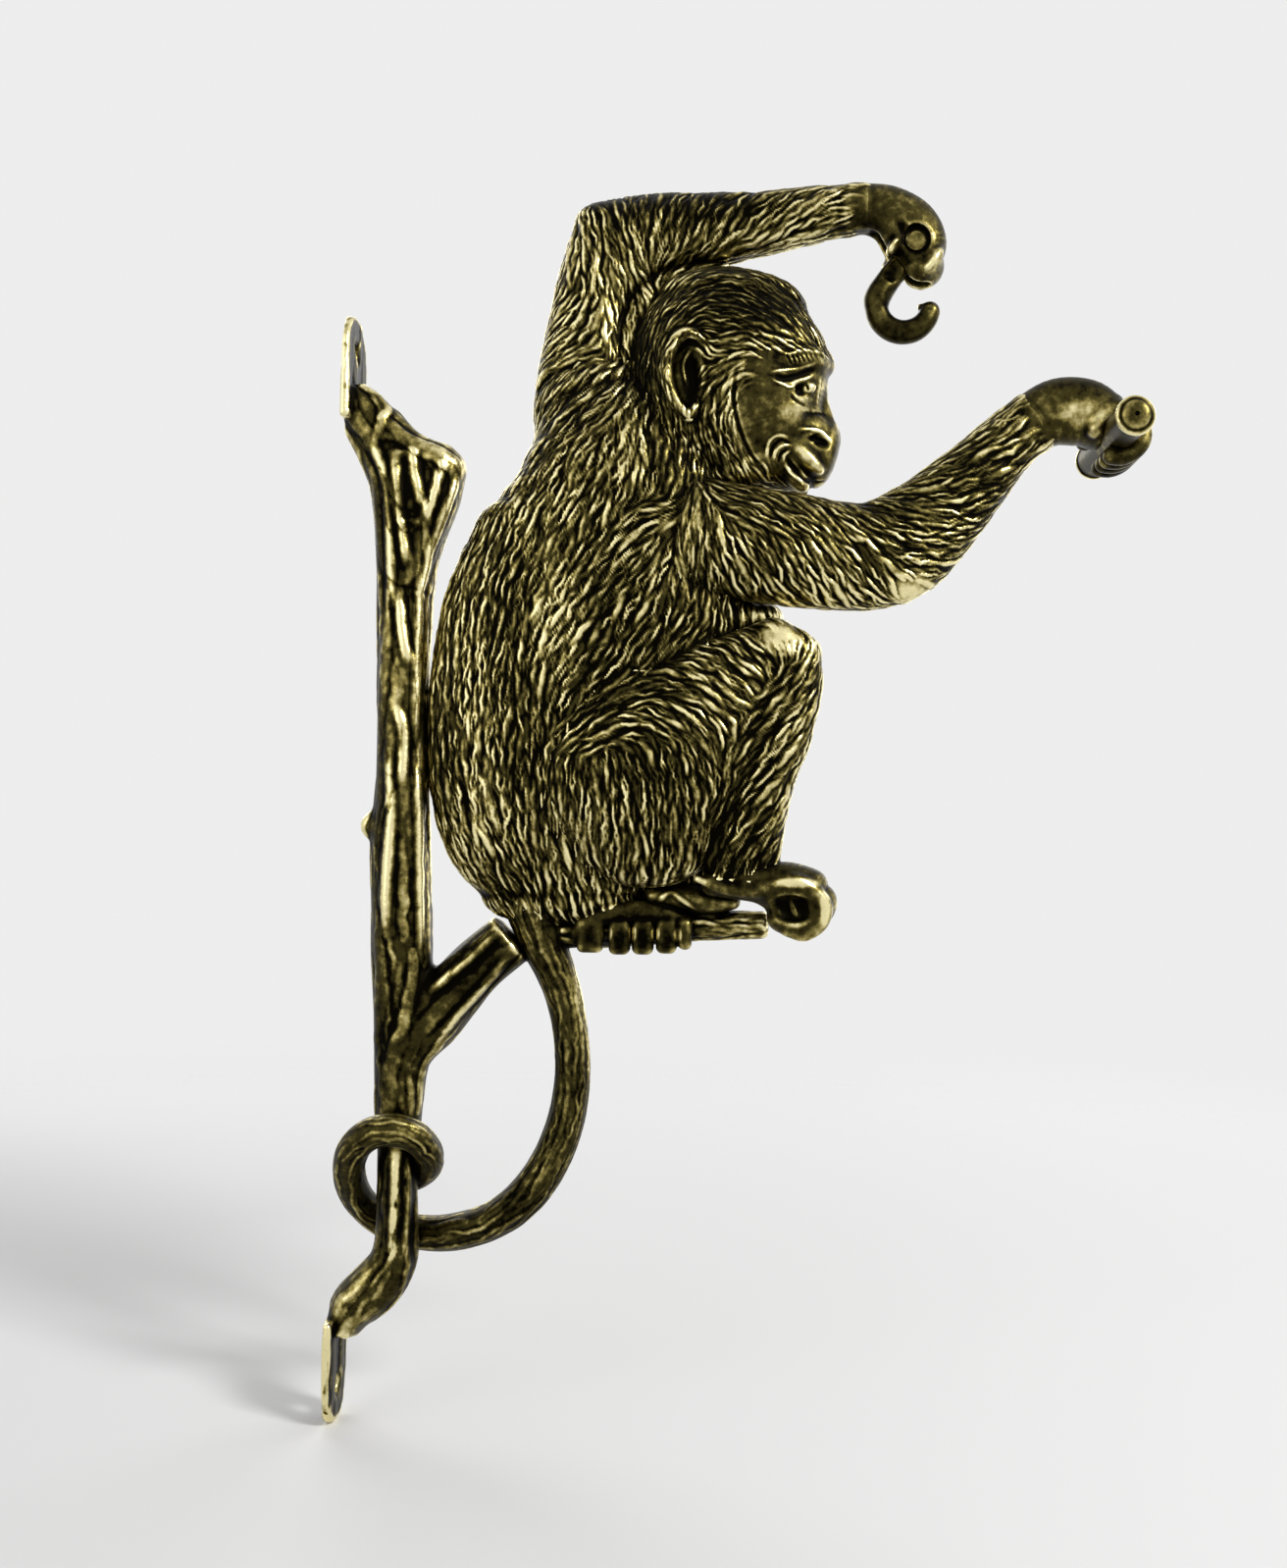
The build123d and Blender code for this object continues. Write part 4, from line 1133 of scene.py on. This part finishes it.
class Finish:
    """The nodes of a material or of the world."""

    def __init__(self, holder):
        holder.use_nodes = True
        self.holder = holder
        self.tree = holder.node_tree
        self.tree.nodes.clear()

    def add(self, kind, settings, inputs, out=0):
        """A node of a kind, its settings made first and then the values or links of its sockets."""
        node = self.tree.nodes.new(kind)
        for key, value in settings.items():
            setattr(node, key, value)
        for key, value in inputs.items():
            if isinstance(value, Tone):
                self.tree.links.new(value.socket, node.inputs[key])
            else:
                node.inputs[key].default_value = value
        if not node.outputs:
            return None
        return Tone(self, node.outputs[out])

    def sum_of(self, operation, a, b):
        """A Math node."""
        return self.add("ShaderNodeMath", {"operation": operation}, {0: a, 1: b})

    def kept(self, label):
        """A value that the carving left on the surface."""
        return self.add("ShaderNodeAttribute", {"attribute_name": label}, {}, "Fac")

    def places(self):
        """Places on the piece, in metres."""
        return self.add("ShaderNodeTexCoord", {}, {}, "Object")

    def noise(self, scale, detail, roughness=0.55):
        """Cloudy values between 0 and 1."""
        rows = {"Vector": self.places(), "Scale": scale, "Detail": detail, "Roughness": roughness}
        return self.add("ShaderNodeTexNoise", {}, rows)

    def mixed(self, share, a, b):
        """From colour a to colour b by a share."""
        return self.add("ShaderNodeMix", {"data_type": "RGBA"}, {0: share, 6: a, 7: b}, 2)

    def shaded(self, base, roughness, **others):
        """Ends a material with its shader."""
        rows = {"Base Color": base, "Roughness": roughness, **others}
        shader = self.add("ShaderNodeBsdfPrincipled", {}, rows)
        self.add("ShaderNodeOutputMaterial", {}, {"Surface": shader})
        return self.holder


def opaque(colour):
    """A colour with its alpha."""
    return (*colour[:3], 1.0)


def brass(name, colours, polish, grain, bright, carved):
    """Cast brass: near black in the grooves, olive between, gold on the ridges and pale cream where polished
    by handling and where highlights are painted; painted shade darkens chosen stretches. A piece that isn't
    carved is all of one height."""
    finish = Finish(bpy.data.materials.new(name))
    cloud = finish.noise(45.0, 4.0)
    spots = finish.noise(420.0, 3.0, 0.6)
    height = (cloud - 0.5) * 0.5 + (spots - 0.5) * 0.45 + bright
    if carved:
        # Darker near seams; polish from handling and painted highlights lighten, painted shade darkens
        seams_wear_and_painted_light = finish.kept("seam").eased(0.0, 1.0) * 0.05 - 0.05 + finish.kept("wear_and_painted_light")
        height = height + finish.kept("crest") + (finish.kept("hollow") - 0.5) * 0.6 + seams_wear_and_painted_light
    else:
        height = height + 0.6
    olive = height.eased(0.37, 0.59)
    gold = height.eased(0.56, 0.76)
    # The palest cream stands for brass polished by handling and for painted highlights
    pale = height.eased(0.68, 0.90)
    colour = finish.mixed(olive, opaque(colours.groove), opaque(colours.patina))
    colour = finish.mixed(gold, colour, opaque(colours.ridge))
    colour = finish.mixed(pale, colour, opaque(colours.rubbed_and_painted_light))
    rough = 0.46 - polish - gold * 0.16 + (spots - 0.5) * 0.16
    pits = finish.noise(1500.0, 2.0)
    rows = {"Strength": 0.35 * grain, "Distance": 0.0002, "Height": pits}
    bump = finish.add("ShaderNodeBump", {}, rows, "Normal")
    return finish.shaded(colour, rough, Metallic=1.0, Normal=bump)


# For each slot: how polished it is, how strong its grain is, how bright it is and whether it is carved
FINISHES = {
    "figure_brass": (0.0, 1.0, 0.0, True),
    "bark_brass": (0.02, 1.2, 0.0, True),
    # The bar is set darker, in part as painted shade
    "bar_brass": (0.12, 0.6, -0.10, True),
    "hook_brass": (0.14, 0.5, -0.04, True),
    "pin_brass": (0.10, 0.8, 0.0, False),
}


def finish_for(context, slot):
    """The finish of a slot, made once."""
    name = f"cast_{slot}"
    if name in bpy.data.materials:
        return bpy.data.materials[name]
    return brass(name, context.scene.bracket_colours, *FINISHES[slot])


def coat(context, name, pitch, guides=None, along=None, strokes=(), lines=(), slot="figure_brass", seed=1):
    """Carves one piece, lays its strands and lines, and hands it over. The strands follow guides in the side
    view, or lines of places that they run along."""
    skin = carve_skin(name, pitch)
    px = side_px(skin.points)
    zones = BARE.get(name, ())
    hair = bare(px, zones)
    relief = np.zeros(len(px))
    if strokes:
        lay = lay_along(skin.points, along) if guides is None else guided(px, guides)
        rng = np.random.default_rng(seed)
        for stroke in strokes:
            carve_strands(skin, lay, hair, rng, relief, *stroke)
        # The coat is sunk until its middle height lies on the form
        relief -= hair * np.sum(relief * skin.area) / np.sum(hair * skin.area)
    lines_on(skin, lines, relief)
    # Polish from handling and painted highlights lighten places, painted shade darkens them
    wear_and_painted_light = rubbed_and_painted_light(px, (*zones, *PAINTED_LIGHT.get(name, ())))
    if slot == "bark_brass":
        # The screw ears are duller than the bark
        wear_and_painted_light -= 0.10 * (1 - eased(skin.points[:, 0], 2.6, 5.0)) * eased(np.abs(skin.points[:, 2]), 112, 120)
    body = "hook" if name == "hook" else "bracket"
    make_piece(f"{name}_cast", skin, relief, wear_and_painted_light, body, finish_for(context, slot), name)


def coat_strokes(context, share=1.0):
    """The strands of the coat, at a share of their size: width, length and height, and how many to a square
    centimetre."""
    hair = context.scene.bracket_hair
    width, length, height = (1000 * share * size for size in (hair.width, hair.length, hair.height))
    density = hair.density / share
    return ((width, length, height, density), (width * 1.7, length * 1.3, height * 1.15, density * 0.12))


def bark_strokes(context):
    """The ridges of the bark, broad ones and then finer ones."""
    bark = context.scene.bracket_bark
    width, length, height = bark.width * 1000, bark.length * 1000, bark.height * 1000
    return (
        (width, length, height, bark.density),
        (width * 0.45, length * 0.4, height * 0.45, bark.density * 2.5),
    )


FACE_LINES = (
    (((784, 379), (798, 377), (817, 375), (836, 369)), 0.6, 0.35),
    (((790, 384), (802, 385), (816, 382), (833, 376)), 1.3, -0.8),
    (((786, 386), (798, 391), (806, 394), (818, 389), (831, 382)), 0.55, 0.35),
    (((808, 395), (817, 401), (828, 407)), 0.5, 0.35),
    (((806, 402), (814, 409), (824, 414)), 0.8, -0.3),
    (((823, 393), (824, 397)), 0.7, -0.5),
    (((838, 384), (836, 398), (834, 413)), 0.9, 0.3),
    (((814, 438), (826, 437), (838, 440), (846, 450)), 0.8, 0.35),
    (((824, 446), (833, 448), (843, 452)), 1.0, -0.45),
    (((781, 466), (784, 451), (793, 444), (806, 446)), 0.7, 0.4),
    (((785, 468), (788, 456), (796, 449), (806, 451)), 0.65, -0.55),
    (((789, 470), (791, 460), (798, 454), (807, 454)), 0.6, 0.35),
    (((794, 472), (796, 463), (802, 458)), 0.6, -0.55),
    (((799, 472), (800, 464), (806, 459)), 0.6, 0.35),
    (((803, 466), (806, 473), (815, 482), (826, 490), (843, 490)), 1.0, -0.9),
    (((800, 473), (805, 481), (816, 490), (821, 496)), 0.75, 0.5),
    (((752, 371), (748, 400), (752, 430), (765, 462), (785, 490)), 0.9, -0.4),
    (((704, 356), (697, 372), (700, 394)), 0.7, 0.5),
    (((800, 362), (820, 357), (840, 360), (850, 368)), 0.8, 0.4),
) + tuple((((x, 361), (x + 3, 366), (x + 5, 371)), 0.5, -0.4) for x in range(802, 838, 5))

TWIG_STROKES = (1.8, 16.0, 0.5, 12.0)  # width, length and height, and how many to a square centimetre

SOLE_LINES = ((((669, 921), (683, 909), (696, 918), (711, 930)), 1.1, 0.4),)

BARK_LINES = tuple((line, 2.0, 0.8) for line in (
    ((403, 455), (404, 500), (412, 560), (418, 580)), ((420, 455), (425, 490), (432, 520)),
    ((452, 470), (443, 500), (432, 530)), ((470, 480), (455, 520), (440, 560), (432, 600)),
    ((430, 570), (427, 640), (425, 700), (423, 750)), ((425, 770), (427, 840), (429, 910), (430, 980)),
    ((403, 590), (412, 650), (418, 680)), ((405, 720), (412, 750), (409, 800)),
    ((376, 440), (392, 490), (398, 560), (396, 640)), ((395, 760), (398, 830), (394, 900), (392, 960)),
    ((440, 1010), (480, 975), (505, 950)), ((445, 1060), (490, 1010), (520, 975)),
    ((404, 1170), (403, 1230), (400, 1290)), ((416, 1175), (415, 1235), (409, 1290)),
))


class BRACKET_OT_torso(bpy.types.Operator):
    """Carves the torso with its coat of hair"""

    bl_idname = "bracket.torso"
    bl_label = "Torso"

    def execute(self, context):
        coat(context, "torso", 0.47, TORSO_LAY, strokes=coat_strokes(context), seed=11)
        return {"FINISHED"}


class BRACKET_OT_head(bpy.types.Operator):
    """Carves the head, its face and its ears"""

    bl_idname = "bracket.head"
    bl_label = "Head"

    def execute(self, context):
        coat(context, "head", 0.36, HEAD_LAY, strokes=coat_strokes(context, 0.85), lines=FACE_LINES, seed=12)
        return {"FINISHED"}


class BRACKET_OT_arms(bpy.types.Operator):
    """Carves the raised arm and the reaching arm"""

    bl_idname = "bracket.arms"
    bl_label = "Arms"

    def execute(self, context):
        strokes = coat_strokes(context)
        coat(context, "raised_arm", 0.42, RAISED_ARM_LAY, strokes=strokes, seed=13)
        coat(context, "reaching_arm", 0.42, REACHING_ARM_LAY, strokes=strokes, seed=14)
        return {"FINISHED"}


class BRACKET_OT_hands(bpy.types.Operator):
    """Shapes the hand that holds the hook and the hand that holds the bar"""

    bl_idname = "bracket.hands"
    bl_label = "Hands"

    def execute(self, context):
        coat(context, "raised_hand", 0.3)
        coat(context, "reaching_hand", 0.3)
        return {"FINISHED"}


class BRACKET_OT_legs(bpy.types.Operator):
    """Carves both drawn-up legs"""

    bl_idname = "bracket.legs"
    bl_label = "Legs"

    def execute(self, context):
        strokes = coat_strokes(context)
        coat(context, "near_leg", 0.45, LEG_LAY, strokes=strokes, seed=15)
        coat(context, "far_leg", 0.45, LEG_LAY, strokes=strokes, seed=16)
        return {"FINISHED"}


class BRACKET_OT_feet(bpy.types.Operator):
    """Shapes the foot that hangs past the twig's end and the foot whose toes hold the twig"""

    bl_idname = "bracket.feet"
    bl_label = "Feet"

    def execute(self, context):
        coat(context, "near_foot", 0.3)
        coat(context, "far_foot", 0.3, lines=SOLE_LINES)
        return {"FINISHED"}


class BRACKET_OT_tail(bpy.types.Operator):
    """Winds the tail round the branch and grooves it lengthwise"""

    bl_idname = "bracket.tail"
    bl_label = "Tail"

    def execute(self, context):
        hair = context.scene.bracket_hair
        # A little wider than the coat's strands, over twice as long and a third as high
        strokes = ((hair.width * 1100, hair.length * 2200, hair.height * 330, hair.density * 0.22),)
        coat(context, "tail", 0.42, along=[tail_form().rows[:, :3]], strokes=strokes, seed=17)
        return {"FINISHED"}


class BRACKET_OT_branch(bpy.types.Operator):
    """Cuts the bark of the branch and of the twig under the feet"""

    bl_idname = "bracket.branch"
    bl_label = "Branch"

    def execute(self, context):
        along = [axis_of(STEM), axis_of(CROWN)[::-1], axis_of(CROWN_WEB), axis_of(STUB)]
        coat(
            context, "branch", 0.5, along=along, strokes=bark_strokes(context), lines=BARK_LINES,
            slot="bark_brass", seed=18,
        )
        coat(
            context, "perch_twig", 0.35, along=[axis_of(TWIG)], strokes=(TWIG_STROKES,), slot="bark_brass",
            seed=19,
        )
        return {"FINISHED"}


class BRACKET_OT_hook(bpy.types.Operator):
    """Shapes the swinging hook, and finishes the pin that it swings on"""

    bl_idname = "bracket.hook"
    bl_label = "Hook and pin"

    def execute(self, context):
        coat(context, "hook", 0.3, slot="hook_brass")
        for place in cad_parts["hook_pin"].material_slots:
            place.material = finish_for(context, "pin_brass")
        return {"FINISHED"}


class BRACKET_OT_cross_bar(bpy.types.Operator):
    """Turns the cross bar with its stepped, domed ends"""

    bl_idname = "bracket.cross_bar"
    bl_label = "Cross bar"

    def execute(self, context):
        sizes = context.scene.bracket_bar
        core, collar, half = sizes.diameter * 500, sizes.collar * 500, sizes.length * 500
        # One end as radii and how far each lies back from the tip
        end = [(radius, half - back) for radius, back in (
            (0.02, 0), (1.4, 0.05), (2.6, 0.22), (3.4, 0.5), (3.7, 0.75), (3.85, 1), (4.1, 1.05), (4.6, 1.15),
            (collar - 0.3, 1.4), (collar, 1.75), (collar, 2.1), (collar - 0.15, 2.4), (core + 0.1, 2.55),
            (core, 2.8),
        )]
        middle = [(core, side) for side in np.linspace(half - 3.3, 3.3 - half, 60)]
        rings = np.array(end + middle + [(radius, -side) for radius, side in end[::-1]])
        steps = 72
        turns = np.arange(steps) * 2 * np.pi / steps
        wide, side = rings[:, :1], np.repeat(rings[:, 1:], steps, axis=1)
        points = np.stack((BAR[0] + wide * np.cos(turns), side, BAR[1] + wide * np.sin(turns)), -1)
        points = points.reshape(-1, 3)
        ring, i = np.arange(len(rings) - 1)[:, None] * steps, np.arange(steps)
        j = (i + 1) % steps
        quads = np.stack((ring + i, ring + j, ring + steps + j, ring + steps + i), -1).reshape(-1, 4)
        skin = skin_of(points, quads)
        skin.past = np.full(len(points), -FAR)
        plain = np.zeros(len(points))
        make_piece(
            "cross_bar_turned", skin, plain, plain, "bracket",
            finish_for(context, "bar_brass"), "cross_bar",
        )
        return {"FINISHED"}


# Lamps: name, place and size in metres, and power in watts
LAMPS = (
    ("key", (0.85, -0.6, 0.65), 0.28, 10.0),
    ("fill", (-0.6, -0.8, 0.3), 0.8, 2.0),
    ("rim", (-0.35, 0.7, 0.5), 0.6, 3.0),
    ("back", (0.6, 0.8, 0.25), 0.8, 3.0),
)
LIT_MIDDLE = (0.10, 0.0, 0.0)
SENSOR = 36.0
FLOOR_REACH = 3.0  # metres


def lamp(name, place, size, power):
    """A soft square lamp that faces the bracket."""
    light = bpy.data.lights.new(name, "AREA")
    light.size = size
    light.energy = power
    holder = bpy.data.objects.new(name, light)
    holder.location = place
    holder.rotation_euler = (Vector(LIT_MIDDLE) - Vector(place)).to_track_quat("-Z", "Y").to_euler()
    bpy.context.scene.collection.objects.link(holder)


class BRACKET_OT_stage(bpy.types.Operator):
    """Lays the pale floor, sets the lamps and points the camera"""

    bl_idname = "bracket.stage"
    bl_label = "Stage"

    def execute(self, context):
        stage = context.scene.bracket_stage
        scene = context.scene
        lens = bpy.data.cameras.new("camera")
        lens.lens = SENSOR * EYE_DISTANCE / (FRAME_PX[1] * MM_PER_PX)
        lens.sensor_width = SENSOR
        lens.shift_x = (FRAME_PX[0] / 2 - EYE_PX[0]) / FRAME_PX[1]
        lens.shift_y = (EYE_PX[1] - FRAME_PX[1] / 2) / FRAME_PX[1]
        lens.clip_start = 0.01
        camera = bpy.data.objects.new("camera", lens)
        out, up = frame_mm(EYE_PX) / 1000
        c, s = math.cos(LEAN), math.sin(LEAN)
        camera.matrix_world = Matrix((
            (c, -s, 0, out), (0, 0, -1, -EYE_DISTANCE / 1000), (s, c, 0, up), (0, 0, 0, 1),
        ))
        scene.collection.objects.link(camera)
        scene.camera = camera

        mesh = bpy.data.meshes.new("floor")
        turns = ((-1, -1), (1, -1), (1, 1), (-1, 1))
        corners = [(x * FLOOR_REACH, y * FLOOR_REACH, CAD_BOX[0][2]) for x, y in turns]
        mesh.from_pydata(corners, [], [(0, 1, 2, 3)])
        floor = bpy.data.objects.new("floor", mesh)
        scene.collection.objects.link(floor)
        finish = Finish(bpy.data.materials.new("floor"))
        away = finish.add("ShaderNodeVectorMath", {"operation": "LENGTH"}, {0: finish.places()}, "Value")
        mesh.materials.append(finish.shaded(opaque(stage.floor), 0.8, Alpha=1 - away.eased(0.25, 0.9)))

        # The camera, glass and metal see the pale backdrop. All else is lit dimly by it.
        sky = Finish(bpy.data.worlds.new("studio"))
        seen, through_glass, mirrored = (
            sky.add("ShaderNodeLightPath", {}, {}, f"Is {ray} Ray")
            for ray in ("Camera", "Transmission", "Glossy")
        )
        dim = sky.add("ShaderNodeBackground", {}, {"Strength": 0.35})
        pale = sky.add("ShaderNodeBackground", {}, {"Color": opaque(stage.backdrop), "Strength": 1.0})
        light = sky.add("ShaderNodeMixShader", {}, {0: seen | through_glass | mirrored, 1: dim, 2: pale})
        sky.add("ShaderNodeOutputWorld", {}, {"Surface": light})
        scene.world = sky.holder
        for row in LAMPS:
            lamp(*row)
        scene.view_settings.view_transform = "Standard"
        return {"FINISHED"}


def size(name, description, default):
    """A size that a user may change, in metres."""
    return bpy.props.FloatProperty(name=name, description=description, default=default, unit="LENGTH")


def shade(name, description, default):
    """A colour that a user may change."""
    return bpy.props.FloatVectorProperty(
        name=name, description=description, default=default, subtype="COLOR", min=0, max=1,
    )


class HairSizes(bpy.types.PropertyGroup):
    width: size("Strand width", "How wide one strand of the coat is", 0.0012)
    length: size("Strand length", "How long one strand of the coat is", 0.0095)
    height: size("Strand height", "How far a strand stands up", 0.00075)
    density: bpy.props.FloatProperty(
        name="Strands", description="Strands to a square centimetre", default=32.0,
    )


class BarkSizes(bpy.types.PropertyGroup):
    width: size("Ridge width", "How wide a ridge of bark is", 0.0042)
    length: size("Ridge length", "How long a ridge of bark is", 0.03)
    height: size("Ridge height", "How far a ridge of bark stands up", 0.00065)
    density: bpy.props.FloatProperty(name="Ridges", description="Ridges to a square centimetre", default=0.8)


class BarSizes(bpy.types.PropertyGroup):
    diameter: size("Bar diameter", "How thick the cross bar is", 0.0092)
    collar: size("Collar diameter", "How thick the bar's two collars are", 0.0104)
    length: size("Bar length", "How long the cross bar is", 0.047)


class BrassColours(bpy.types.PropertyGroup):
    groove: shade("Grooves", "Colour deep in the carving", (0.0025, 0.002, 0.001))
    patina: shade("Patina", "Colour between grooves and ridges", (0.042, 0.034, 0.009))
    ridge: shade("Ridges", "Colour of the ridges", (0.31, 0.25, 0.075))
    # Pale cream for ridges polished by handling and for painted highlights
    rubbed_and_painted_light: shade("Rubbed", "Colour where hands have rubbed the ridges", (0.86, 0.77, 0.42))


class StageColours(bpy.types.PropertyGroup):
    floor: shade("Floor", "Colour of the floor", (0.8, 0.8, 0.8))
    backdrop: shade("Backdrop", "Colour behind the bracket", (0.85, 0.85, 0.85))


STEPS = (
    BRACKET_OT_stage, BRACKET_OT_branch, BRACKET_OT_torso, BRACKET_OT_head, BRACKET_OT_arms, BRACKET_OT_hands,
    BRACKET_OT_legs, BRACKET_OT_feet, BRACKET_OT_tail, BRACKET_OT_cross_bar, BRACKET_OT_hook,
)
SETTINGS = {
    "bracket_hair": HairSizes, "bracket_bark": BarkSizes, "bracket_bar": BarSizes,
    "bracket_colours": BrassColours, "bracket_stage": StageColours,
}


class BRACKET_PT_panel(bpy.types.Panel):
    bl_label = "Ape bracket"
    bl_idname = "BRACKET_PT_panel"
    bl_space_type = "VIEW_3D"
    bl_region_type = "UI"
    bl_category = "Bracket"

    def draw(self, context):
        for name in SETTINGS:
            group = getattr(context.scene, name)
            box = self.layout.box()
            for prop in group.bl_rna.properties:
                if prop.identifier not in ("rna_type", "name"):
                    box.prop(group, prop.identifier)
        for step in STEPS:
            self.layout.operator(step.bl_idname)


def register():
    for kind in (*SETTINGS.values(), *STEPS, BRACKET_PT_panel):
        bpy.utils.register_class(kind)
    for name, kind in SETTINGS.items():
        setattr(bpy.types.Scene, name, bpy.props.PointerProperty(type=kind))


def unregister():
    for name in SETTINGS:
        delattr(bpy.types.Scene, name)
    for kind in (BRACKET_PT_panel, *reversed(STEPS), *SETTINGS.values()):
        bpy.utils.unregister_class(kind)


def main():
    """Builds the whole scene."""
    register()
    for step in STEPS:
        group, name = step.bl_idname.split(".")
        getattr(getattr(bpy.ops, group), name)()


if __name__ == "__main__":
    main()
